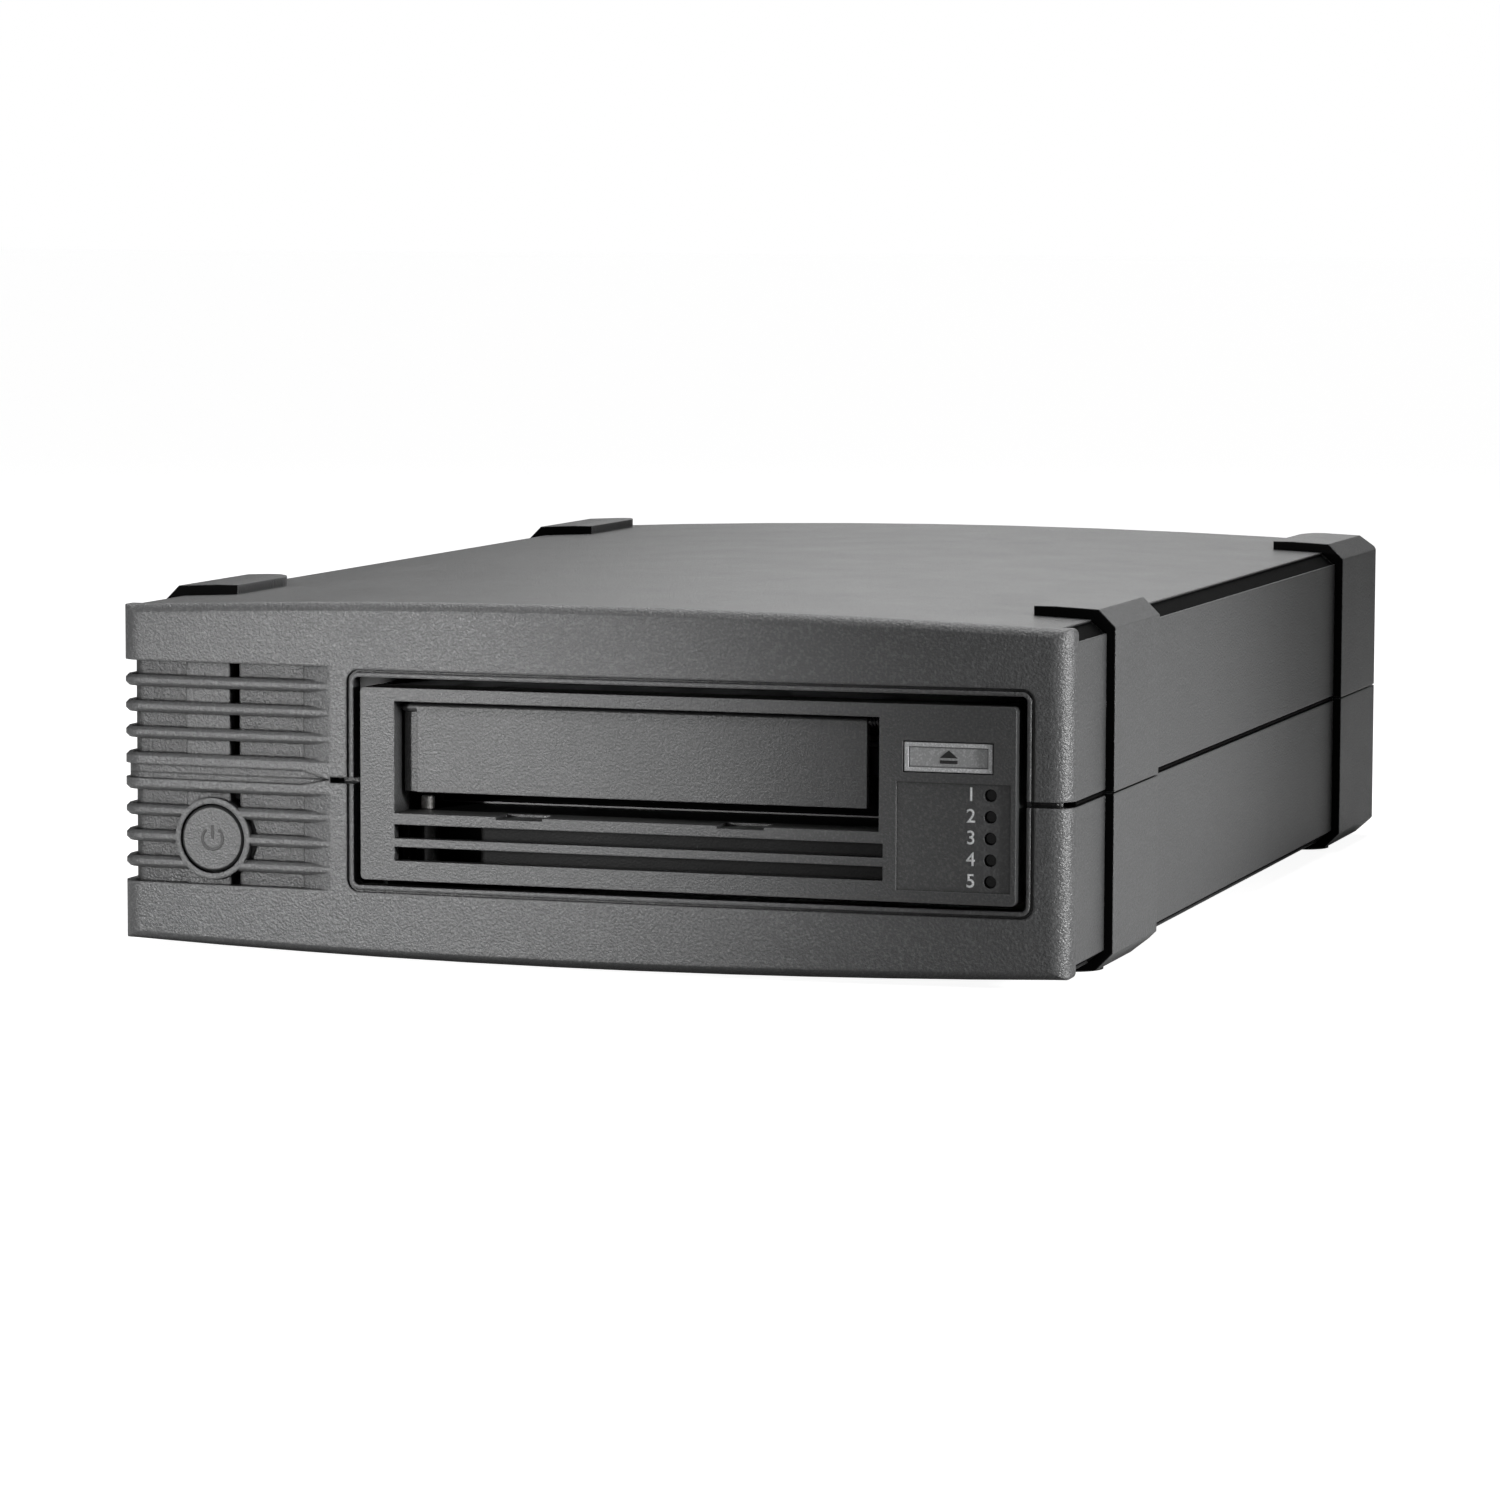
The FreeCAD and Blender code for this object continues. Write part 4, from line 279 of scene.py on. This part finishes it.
grain_height = 0.0001       # in metres, for plastics and metals
speck_share = 0.7           # how much of a speck's paler tone shows
speck_tone = 1.7            # times the plastic's own level
# painted shade in grooves goes down to this share of the plastic's level
groove_shade_tone = 0.15


def bump_on(tree, shader, height, normal, strength, distance):
    """Bump from a height on top of a normal, which may be None, into the shader."""
    bump = tree.nodes.new("ShaderNodeBump")
    bump.inputs["Strength"].default_value = strength
    bump.inputs["Distance"].default_value = distance
    tree.links.new(height, bump.inputs["Height"])
    if normal is not None:
        tree.links.new(normal, bump.inputs["Normal"])
    tree.links.new(bump.outputs["Normal"], shader.inputs["Normal"])


def plastic(name, level, roughness, cells=2600.0, depth=0.25, edge=1.5, radius=0.0004, spread=0.12,
            shine=0.5, tint=0.01, reach=0.004):
    """Moulded plastic of a linear grey level.

    Cells is the number of grains per metre and depth their strength. Tone runs up and down by spread,
    and an edge is edge times as pale, a painted highlight, within radius in metres. Shine is the specular
    level, where 0.5 is a common plastic and less is a matt one. Grooves narrower than reach, in metres,
    are darkened with painted shade.
    """
    material, tree, shader = base_material(name)
    grain = group_node(tree, grain_group, Cells=cells)
    edges = group_node(tree, edge_group, Radius=radius)
    cloudy = mixed_colour(tree, grain.outputs["Cloud"], grey(level * (1 - spread), tint),
                          grey(level * (1 + spread), tint))
    specks = math_node(tree, "MULTIPLY", grain.outputs["Speck"], speck_share, clamp=True)
    speckled = mixed_colour(tree, specks, cloudy, grey(level * speck_tone, tint))
    # Painted highlight: the colour turns paler along edges.
    edge_highlighted = mixed_colour(tree, edges.outputs["Edge"], speckled, grey(level * edge, tint))
    # Painted shade: the colour darkens in grooves and narrow gaps.
    grooves = group_node(tree, groove_shade_group, Reach=reach)
    groove_shaded = mixed_colour(tree, grooves.outputs["Groove"], edge_highlighted, grey(level * groove_shade_tone, tint))
    tree.links.new(groove_shaded, shader.inputs["Base Color"])
    rough = map_range(tree, grain.outputs["Cloud"], To_Min=roughness - 0.05, To_Max=roughness + 0.06)
    tree.links.new(rough.outputs["Result"], shader.inputs["Roughness"])
    bump_on(tree, shader, grain.outputs["Height"], edges.outputs["Normal"], depth, grain_height)
    shader.inputs["Specular IOR Level"].default_value = shine
    return material


finishes = {
    "shell_plastic": plastic("shell_plastic", 0.085, 0.34, cells=1800.0, depth=0.7, edge=1.5, radius=0.0007),
    "bezel_plastic": plastic("bezel_plastic", 0.065, 0.38, cells=2200.0, depth=0.45, edge=1.6, radius=0.0003),
    "trim_black": plastic("trim_black", 0.002, 0.7, cells=3000.0, depth=0.2, edge=1.2, shine=0.05),
    "rubber_black": plastic("rubber_black", 0.016, 0.8, cells=1500.0, depth=0.4, edge=1.3),
    "key_grey": plastic("key_grey", 0.55, 0.42, cells=3600.0, depth=0.15, edge=1.25, radius=0.00025,
                        reach=0.0004),
    "gear_plastic": plastic("gear_plastic", 0.62, 0.40, cells=1200.0, depth=0.08, edge=1.05, tint=-0.03,
                            reach=0.0004),
    "reel_plastic": plastic("reel_plastic", 0.22, 0.42, cells=1500.0, depth=0.1, edge=1.2),
    "head_ceramic": plastic("head_ceramic", 0.09, 0.18, cells=6000.0, depth=0.03, edge=1.2),
    "black_plastic": plastic("black_plastic", 0.006, 0.5, cells=2200.0, depth=0.25, edge=1.8, shine=0.15),
    "lamp_lens": plastic("lamp_lens", 0.006, 0.25, cells=900.0, depth=0.03, edge=1.4, shine=0.3),
}
print("plastics", sorted(finishes))

# %% [markdown]
# ## Metals
# Zinc-plated sheet has a faint patchwork of crystals, and turned or drawn steel has fine lines. A
# Voronoi texture gives the patches and a noise stretched along one axis gives the lines; both change
# gloss more than colour.

# %% Metal material
def metal(name, colour, roughness, patch_cells=0.0, stretch=(1.0, 1.0, 40.0), radius=0.0002):
    """Metal: colour and gloss change from patch to patch, or along fine lines where patch_cells is 0."""
    material, tree, shader = base_material(name)
    place = tree.nodes.new("ShaderNodeTexCoord").outputs["Object"]
    if patch_cells:
        patches = tree.nodes.new("ShaderNodeTexVoronoi")
        patches.inputs["Scale"].default_value = patch_cells
        tree.links.new(place, patches.inputs["Vector"])
        parts = tree.nodes.new("ShaderNodeSeparateColor")
        tree.links.new(patches.outputs["Color"], parts.inputs["Color"])
        pattern = parts.outputs["Red"]
    else:
        mapping = tree.nodes.new("ShaderNodeMapping")
        mapping.inputs["Scale"].default_value = stretch
        tree.links.new(place, mapping.inputs["Vector"])
        pattern = noise(tree, mapping.outputs["Vector"], 260.0, 2.0, 0.6)
    low = tuple(c * 0.86 for c in colour)
    high = tuple(min(c * 1.08, 1.0) for c in colour)
    tree.links.new(mixed_colour(tree, pattern, low, high), shader.inputs["Base Color"])
    rough = map_range(tree, pattern, To_Min=roughness - 0.07, To_Max=roughness + 0.07)
    tree.links.new(rough.outputs["Result"], shader.inputs["Roughness"])
    edges = group_node(tree, edge_group, Radius=radius)
    bump_on(tree, shader, pattern, edges.outputs["Normal"], 0.06, grain_height)
    shader.inputs["Metallic"].default_value = 1.0
    return material


finishes.update({
    "zinc_steel": metal("zinc_steel", (0.56, 0.57, 0.58), 0.38, patch_cells=180.0),
    "bright_steel": metal("bright_steel", (0.66, 0.66, 0.67), 0.26),
    "dark_steel": metal("dark_steel", (0.045, 0.045, 0.045), 0.4),
    "motor_metal": metal("motor_metal", (0.48, 0.48, 0.50), 0.34, stretch=(30.0, 30.0, 1.0)),
    "brass": metal("brass", (0.72, 0.52, 0.24), 0.28),
})
print("metals added, now", len(finishes), "finishes")

# %% [markdown]
# ## Circuit boards
# Solder mask is a thin green lacquer over copper tracks. The tracks run along and across the board,
# so two combs of lines broken up by noise look right, a little paler and a little raised.

# %% Board material
def board(name):
    """Lacquered board: a track is where a saw wave along X or Y is above 0.55 and a noise above 0.56."""
    material, tree, shader = base_material(name)
    place = tree.nodes.new("ShaderNodeTexCoord").outputs["Object"]
    axes = tree.nodes.new("ShaderNodeSeparateXYZ")
    tree.links.new(place, axes.inputs["Vector"])
    tracks_per_metre = 780.0
    combs = []
    for axis, cells in (("X", 190.0), ("Y", 230.0)):
        saw = math_node(tree, "FRACT", math_node(tree, "MULTIPLY", axes.outputs[axis], tracks_per_metre))
        line = math_node(tree, "GREATER_THAN", saw, 0.55)
        here = math_node(tree, "GREATER_THAN", noise(tree, place, cells, 1.0), 0.56)
        combs.append(math_node(tree, "MULTIPLY", line, here))
    tracks = math_node(tree, "MAXIMUM", *combs)
    lacquer = mixed_colour(tree, tracks, (0.012, 0.10, 0.045), (0.03, 0.19, 0.085))
    tree.links.new(lacquer, shader.inputs["Base Color"])
    bump_on(tree, shader, tracks, None, 0.3, 0.00005)
    shader.inputs["Roughness"].default_value = 0.28
    return material


finishes["board_green"] = board("board_green")
print("board added, now", len(finishes), "finishes")

# %% [markdown]
# ## Every piece gets its finish
# The record names a material slot for each piece, so one loop dresses them all. Three pieces near
# the openings are near-black steel instead of bare metal: painted shade, so that the inside of the bay stays
# dark.

# %% Give every CAD piece its finish
slot_of = {row["node"]: row["material_slot"] for row in frame["record"]["subparts"]}
for name, piece in nodes.items():
    piece.data.materials.clear()
    piece.data.materials.append(finishes[slot_of[name]])
# Painted shade: near-black steel keeps the inside of the bay dark.
for name in ("cartridge_carriage", "bay_rails", "supply_chassis"):
    nodes[name].data.materials[0] = finishes["dark_steel"]
print("dressed", len(nodes), "pieces in", len(set(slot_of.values())), "finishes")

# %% [markdown]
# The spring behind the power button has to shorten when the button goes in. A copy of it, with its
# close corners merged, stands for the rigid spring and rides on the case.

# %% Copy of the spring behind the button
merge_distance = 0.001 * mm


def merged_copy(name, node):
    """New object with a copy of the node's mesh, where corners closer than merge_distance are one."""
    mesh = node.data.copy()
    work = bmesh.new()
    work.from_mesh(mesh)
    bmesh.ops.remove_doubles(work, verts=work.verts, dist=merge_distance)
    work.to_mesh(mesh)
    work.free()
    piece = bpy.data.objects.new(name, mesh)
    bpy.context.scene.collection.objects.link(piece)
    return piece


coil = merged_copy("power_button_coil", nodes["power_button_spring"])
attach(coil, "case")
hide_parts("power_button_spring")
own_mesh(coil)

# %% [markdown]
# ## Marks on the front
# The lamps are told apart by plain numbers printed beside them. Print is a film of ink, a few
# hundredths of a millimetre thick, so each number is a text object turned into a thin closed mesh.

# %% Printed numbers
def riding_piece(name, mesh, material, body):
    """A finished piece: an object at the origin with this mesh and material, riding on a body."""
    mesh.materials.clear()
    mesh.materials.append(material)
    piece = bpy.data.objects.new(name, mesh)
    bpy.context.scene.collection.objects.link(piece)
    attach(piece, body)


ink = plastic("ink_white", 0.85, 0.55, cells=5200.0, depth=0.2, edge=1.0, spread=0.06)
number_height = 2.9 * mm
number_weight = 0.09 * mm
number_gap = 1.9 * mm
digit_share = 0.7           # a digit's height is this share of the font's size
ink_film = 0.03 * mm


def printed(name, text, right_x, middle_z, face_y, height, body):
    """Text as a thin closed mesh that ends at right_x: its front stands one film ahead of the face."""
    curve = bpy.data.curves.new(name, "FONT")
    curve.body = text
    curve.size = height / digit_share
    curve.align_x = "RIGHT"
    curve.align_y = "CENTER"
    curve.extrude = ink_film
    curve.offset = number_weight / 2
    source = bpy.data.objects.new(name + "_text", curve)
    bpy.context.scene.collection.objects.link(source)
    mesh = bpy.data.meshes.new_from_object(source)
    bpy.data.objects.remove(source)
    upright = Matrix.Rotation(math.pi / 2, 4, "X")
    mesh.transform(Matrix.Translation((right_x, face_y, middle_z)) @ upright)
    riding_piece(name, mesh, ink, body)


bezel_low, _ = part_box("drive_bezel")
lamp_low, lamp_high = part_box("status_lamps")
panel_face = bezel_low.y + 0.35 * mm
lamp_count = 5
lamp_pitch = 4.58 * mm
first_lamp_drop = 1.3 * mm
for k in range(lamp_count):
    z = lamp_high.z - first_lamp_drop - k * lamp_pitch
    printed(f"lamp_number_{k + 1}", str(k + 1), lamp_low.x - number_gap, z, panel_face, number_height, "case")
print("printed numbers 1 to", lamp_count)

# %% [markdown]
# The power button carries the usual sign, an open ring with an upright bar. Both are strokes of
# constant width, so one function sweeps a small flat-topped profile along a path. The strokes stand a
# little proud, and their near-black colour is painted shade of an engraved sign, with a painted
# highlight along their edges.

# %% Strokes
def closed_piece(name, verts, faces, material, body):
    """A closed piece from arrays of vertices and faces, with its normals turned outwards."""
    mesh = bpy.data.meshes.new(name)
    mesh.from_pydata([tuple(v) for v in verts], [], [tuple(f) for f in faces])
    mesh.update()
    work = bmesh.new()
    work.from_mesh(mesh)
    bmesh.ops.recalc_face_normals(work, faces=work.faces)
    work.to_mesh(mesh)
    work.free()
    riding_piece(name, mesh, material, body)


def four_sided(rings):
    """Vertices and faces of a bar with four long sides and two ends: rings are its four long edges."""
    verts = np.stack(rings, 1).reshape(-1, 3)
    last = 4 * (len(rings[0]) - 1)
    steps = np.arange(0, last, 4)
    faces = []
    for j in range(4):
        a, b = steps + j, steps + (j + 1) % 4
        faces += np.stack([a, b, b + 4, a + 4], 1).tolist()
    faces += [[3, 2, 1, 0], [last, last + 1, last + 2, last + 3]]
    return verts, faces


def at_depth(outline, y):
    """The (x, z) points of an outline as (x, y, z) points."""
    outline = np.asarray(outline, float)
    return np.stack([outline[:, 0], np.full(len(outline), y), outline[:, 1]], 1)


def sweep_stroke(path, width, base_y, rise):
    """Bar along an (x, z) path.

    At each point the two lower corners stand half a width either side of the path, at base_y, and
    the two upper ones a quarter of that further in, at base_y - rise.
    """
    path = np.asarray(path, float)
    ahead = np.gradient(path, axis=0)
    ahead /= np.linalg.norm(ahead, axis=1, keepdims=True)
    side = np.stack([-ahead[:, 1], ahead[:, 0]], 1) * width / 2
    left, right = path + side, path - side
    return four_sided([at_depth(left, base_y), at_depth(left - side * 0.25, base_y - rise),
                       at_depth(right + side * 0.25, base_y - rise), at_depth(right, base_y)])


def arc_path(x, z, radius, start, end, count):
    """Points on a circle arc, angles in degrees from +X towards +Z."""
    angles = np.radians(np.linspace(start, end, count))
    return np.stack([x + radius * np.cos(angles), z + radius * np.sin(angles)], 1)


print("strokes have four long sides and two ends")

# %% Sign on the power button
button_low, button_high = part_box("power_button")
button_x = (button_low.x + button_high.x) / 2
button_z = (button_low.z + button_high.z) / 2
sign_r = 2.4 * mm
ring_start, ring_end = 128, 412         # degrees, so that the ring is open at the top
bar_length = 3.0 * mm
stroke = 0.7 * mm
sign_rise = 0.15 * mm
sign_base_y = button_low.y + 0.05 * mm
# Near-black with pale edges: painted shade of the engraved power sign and a painted highlight on its edges;
# the eject sign uses it as a dark sign.
sign_dark_and_engraving_shade = plastic("sign_dark_and_engraving_shade", 0.008, 0.45, cells=3200.0, depth=0.2, edge=6.0, radius=0.0002)
ring_path = arc_path(button_x, button_z, sign_r, ring_start, ring_end, 49)
bar_path = [(button_x, button_z + share * bar_length) for share in (0, 0.5, 1)]
for name, path in (("power_sign_ring", ring_path), ("power_sign_bar", bar_path)):
    verts, faces = sweep_stroke(path, stroke, sign_base_y, sign_rise)
    closed_piece(name, verts, faces, sign_dark_and_engraving_shade, "power_button_body")
print("power sign, radius in mm", sign_r / mm)

# %% [markdown]
# The eject button is a shallow dish with a paler rim. A thin grey plate lines the dish, and a
# triangle over a bar lies on it. All three are flat, so each is an outline with a front and a back.

# %% Sign on the eject button
def plate(name, outline, y0, y1, material, body):
    """Flat plate whose outline is a list of (x, z) points, from y0 back to y1."""
    count = len(outline)
    front = at_depth(outline, y0)
    back = front + (0, y1 - y0, 0)
    around = [[k, (k + 1) % count, (k + 1) % count + count, k + count] for k in range(count)]
    faces = [list(range(count))[::-1], list(range(count, 2 * count))] + around
    closed_piece(name, np.concatenate([front, back]), faces, material, body)


def round_corners(x, z, half_width, half_height, radius, steps=6):
    """Rectangle about (x, z) whose corners are quarter circles: a list of (x, z) points."""
    reach_x, reach_z = half_width - radius, half_height - radius
    corners = ((1, 1, 0), (-1, 1, 90), (-1, -1, 180), (1, -1, 270))
    runs = [arc_path(x + a * reach_x, z + b * reach_z, radius, start, start + 90, steps)
            for a, b, start in corners]
    return np.concatenate(runs)


eject_low, eject_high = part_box("eject_button")
eject_x = (eject_low.x + eject_high.x) / 2
eject_z = (eject_low.z + eject_high.z) / 2
dish_y = eject_low.y + 0.4 * mm
face_grey = plastic("face_grey", 0.36, 0.42, cells=3200.0, depth=0.2, edge=1.3, radius=0.0001, reach=0.0004)
plate_film = 0.06 * mm
plate_sink = 0.02 * mm      # how deep a plate goes into what carries it
face_y = dish_y - plate_film
plate("eject_face", round_corners(eject_x, eject_z, 8.5 * mm, 2.0 * mm, 0.4 * mm),
      face_y, dish_y + plate_sink, face_grey, "eject_button_body")
left_x, right_x = eject_x - 1.9 * mm, eject_x + 1.9 * mm
triangle_z, tip_z = eject_z - 0.1 * mm, eject_z + 1.5 * mm
bar_z0, bar_z1 = eject_z - 1.3 * mm, eject_z - 0.65 * mm
triangle = [(left_x, triangle_z), (right_x, triangle_z), (eject_x, tip_z)]
bar = [(left_x, bar_z0), (right_x, bar_z0), (right_x, bar_z1), (left_x, bar_z1)]
for name, outline in (("eject_sign_triangle", triangle), ("eject_sign_bar", bar)):
    plate(name, outline, face_y - plate_film, face_y + plate_sink,
          sign_dark_and_engraving_shade, "eject_button_body")
print("eject sign, width in mm", round((right_x - left_x) / mm, 1))

# %% [markdown]
# Each guard starts with a step about two millimetres high, and a thin black band covers that step all
# the way from the joint line up the side, over the bevel and across the pad. A band lies between
# two outlines with the same number of points, so its faces are quads from one to the other. One
# outline is enough: the other seven bands are its mirror images.

# %% Black bands on the guards' front steps
case_low, case_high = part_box("upper_shell")
guard_x = case_high.x
mid_z = 39.7 * mm           # height of the joint line
step = 2.0 * mm             # how far a guard stands out of the shell
guard_bevel = 3.8 * mm
pad_width = 18.1 * mm
pad_crown = 0.45 * mm       # how much a pad falls towards the side
joint_half = 0.3 * mm
film = 0.12 * mm
front_guard_y = case_low.y + 32.4 * mm
rear_guard_y = case_high.y - 45.7 * mm


def black_band_outlines(level):
    """Outer and inner (x, z) outline of the upper right band, with z counted from the joint line.

    Both run from the joint line up the side, over the bevel and along the pad to its inner end. The
    outer one stays one film inside the guard's own edge.
    """
    rise = level - mid_z
    flat_x, end_x = guard_x - pad_width + 5 * mm, guard_x - pad_width
    corners = [(guard_x, rise - guard_bevel - pad_crown), (guard_x - guard_bevel, rise - pad_crown),
               (flat_x, rise)]
    lowered = [(x - film, z - film) for x, z in corners]
    outer = [(guard_x - film, joint_half)] + lowered + [(end_x + film, rise - film)]
    shell_x = guard_x - step
    inner = [(shell_x, joint_half), (shell_x, 33.9 * mm), (shell_x - 3.6 * mm, 36.9 * mm),
             (flat_x, 37.3 * mm), (end_x + film, 37.4 * mm)]
    return outer, inner


feet_gap = 0.6 * mm         # the lower guards end this much nearer to the joint line
for row, y in (("front", front_guard_y), ("rear", rear_guard_y)):
    for side, across in (("right", 1), ("left", -1)):
        for half_name, up, level in (("upper", 1, case_high.z), ("lower", -1, case_high.z - feet_gap)):
            outer, inner = (
                [(across * x, mid_z + up * z) for x, z in outline] for outline in black_band_outlines(level))
            verts, faces = four_sided([at_depth(outer, y - film), at_depth(inner, y - film),
                                       at_depth(inner, y + film), at_depth(outer, y + film)])
            closed_piece(f"seal_{row}_{side}_{half_name}", verts, faces,
                         finishes["trim_black"], "case")
print("seals on the guards", film / mm, "mm proud")

# %% [markdown]
# A black strip lies in the joint between the shells, just under the surface: painted shade that keeps
# the open joint dark. Its section is a half circle that faces outwards.

# %% Painted shade in the joint line
shade_strip_radius = 0.60 * mm
shade_strip_sink = 0.25 * mm       # how far it lies under the shell's side
shade_strip_depth = 1.6 * mm


def joint_shade_strip(name, side, y0, y1):
    """Bar along Y with a half-round front in the open joint: side is 1 on the right and -1 on the left."""
    centre_x = guard_x - step - shade_strip_sink - shade_strip_radius
    back_x = centre_x + shade_strip_radius - shade_strip_depth
    section = arc_path(centre_x, mid_z, shade_strip_radius, -90, 90, 9).tolist()
    section += [(back_x, mid_z + shade_strip_radius), (back_x, mid_z - shade_strip_radius)]
    outline = [(side * x, z) for x, z in section]
    plate(name, outline, y0, y1, finishes["trim_black"], "case")


end_gap = 0.3 * mm
guard_length = 40.4 * mm
front_end = front_guard_y - end_gap
middle_start, middle_end = front_guard_y + guard_length + end_gap, rear_guard_y - end_gap
# Black strips of painted shade in the open joint, at the front and in the middle on both sides.
joint_shade_strip("joint_shade_front_right", 1, case_low.y + 8.0 * mm, front_end)
joint_shade_strip("joint_shade_front_left", -1, case_low.y + 28.0 * mm, front_end)      # starts behind the ribs
joint_shade_strip("joint_shade_middle_right", 1, middle_start, middle_end)
joint_shade_strip("joint_shade_middle_left", -1, middle_start, middle_end)
print("dust seals of radius", shade_strip_radius / mm, "mm")

# %% [markdown]
# ## Floor and light
# The object stands on a plain white floor. The floor is a mid grey that also glows a little, only for
# camera and mirror rays through Light Path, so it looks white and still takes the object's shadow.

# %% Floor
def rays_that_see(tree, in_camera, in_mirror):
    """Strength in_camera for camera rays, in_mirror for glossy and transmission rays, and 0 for the rest."""
    rays = tree.nodes.new("ShaderNodeLightPath")
    mirror = math_node(tree, "MAXIMUM", rays.outputs["Is Glossy Ray"], rays.outputs["Is Transmission Ray"])
    mirrored = math_node(tree, "MULTIPLY", mirror, in_mirror)
    return math_node(tree, "MULTIPLY_ADD", rays.outputs["Is Camera Ray"], in_camera, mirrored)


floor_grey = 0.55           # share of the light that the floor throws back
camera_glow = 0.93          # its own glow, as the camera sees it
mirror_glow = 0.05          # and as the object mirrors it


def white_floor():
    """Floor whose white is partly its own and partly a glow that only camera and mirror rays see."""
    material, tree, shader = base_material("floor_white")
    shader.inputs["Base Color"].default_value = (floor_grey, floor_grey, floor_grey, 1.0)
    shader.inputs["Roughness"].default_value = 0.9
    shader.inputs["Emission Color"].default_value = (1.0, 1.0, 1.0, 1.0)
    tree.links.new(rays_that_see(tree, camera_glow, mirror_glow), shader.inputs["Emission Strength"])
    return material


floor_size = 30.0
floor_mesh = bpy.data.meshes.new("floor")
half = floor_size / 2
floor_corners = [(a * half, b * half, 0) for a, b in ((-1, -1), (1, -1), (1, 1), (-1, 1))]
floor_mesh.from_pydata(floor_corners, [], [(0, 1, 2, 3)])
floor_mesh.materials.append(white_floor())
floor = bpy.data.objects.new("floor", floor_mesh)
bpy.context.scene.collection.objects.link(floor)
print("floor of", floor_size, "m")

# %% [markdown]
# Dark plastic shows itself mostly by what it mirrors. The top is seen at a low angle, so it mirrors
# the sky behind the object. For mirror rays that sky is white towards the left, dark beyond that on
# the far left, and fades to dark on the right. What lights the object from all round is a weak grey.

# %% World
world = bpy.data.worlds.new("studio")
bpy.context.scene.world = world
world.use_nodes = True
sky = world.node_tree
plain_level = 0.08          # what lights the object from all round
left_level = 1.0            # what its mirror rays see on the left
right_level = 0.12          # and on the right
direction = sky.nodes.new("ShaderNodeSeparateXYZ")
sky.links.new(sky.nodes.new("ShaderNodeTexCoord").outputs["Generated"], direction.inputs["Vector"])


def sky_fade(start, end, at_start, at_end):
    """Smooth step along X of the direction: at_start before start, at_end after end."""
    fade = sky.nodes.new("ShaderNodeMapRange")
    fade.interpolation_type = "SMOOTHSTEP"
    for label, value in (("From Min", start), ("From Max", end), ("To Min", at_start), ("To Max", at_end)):
        fade.inputs[label].default_value = value
    sky.links.new(direction.outputs["X"], fade.inputs["Value"])
    return fade.outputs["Result"]


far_left = sky_fade(-0.36, -0.28, 0.0, 1.0)
mirrored_sky = math_node(sky, "MULTIPLY", sky_fade(-0.45, 0.35, left_level, right_level), far_left)
extra = math_node(sky, "SUBTRACT", mirrored_sky, plain_level)
glow = math_node(sky, "ADD", rays_that_see(sky, 1.0 - plain_level, extra), plain_level)
background = sky.nodes["Background"]
background.inputs["Color"].default_value = (1.0, 1.0, 1.0, 1.0)
sky.links.new(glow, background.inputs["Strength"])
print("sky from", left_level, "to", right_level, "in mirror rays")

# %% [markdown]
# Two low spots make soft pools of light that fade out, one on the left half of the front and one on
# the front end of the right side. Because they are low, their light glances off the front and the
# rounded corner towards the camera. A soft square lamp above draws a line along the upper front
# edge, and a large one above and behind lights the top.

# %% Lamps
def hang(lamp, place, target):
    """Place the lamp and turn it towards target."""
    holder = bpy.data.objects.new(lamp.name, lamp)
    bpy.context.scene.collection.objects.link(holder)
    place, target = Vector(place), Vector(target)
    turn = (target - place).to_track_quat("-Z", "Y")
    holder.matrix_world = Matrix.Translation(place) @ turn.to_matrix().to_4x4()


def softbox(name, place, target, width, height, power):
    """Rectangular lamp at place that looks at target; power in watts."""
    lamp = bpy.data.lights.new(name, "AREA")
    lamp.shape = "RECTANGLE"
    lamp.size = width
    lamp.size_y = height
    lamp.energy = power
    hang(lamp, place, target)


def pool(name, place, target, reach, power):
    """Spot whose light fades from target to nothing at the distance reach; power in watts."""
    lamp = bpy.data.lights.new(name, "SPOT")
    lamp.spot_size = 2 * math.atan(reach / (Vector(target) - Vector(place)).length)
    lamp.spot_blend = 1.0
    lamp.shadow_soft_size = 0.03
    lamp.energy = power
    hang(lamp, place, target)


pool("left_front", (-0.354, -0.91, 0.12), (-0.055, -0.16, 0.035), 0.12, 23.5)
pool("right_side", (0.78, -0.25, 0.13), (0.12, -0.12, 0.04), 0.19, 24.0)
softbox("overhead", (-0.05, -0.15, 0.92), (-0.05, -0.15, 0.0), 0.5, 0.5, 3.5)
softbox("top_rear", (-0.25, 0.75, 1.1), (0.0, 0.0, 0.07), 1.0, 0.8, 7.0)
bpy.context.scene.view_settings.view_transform = "Standard"
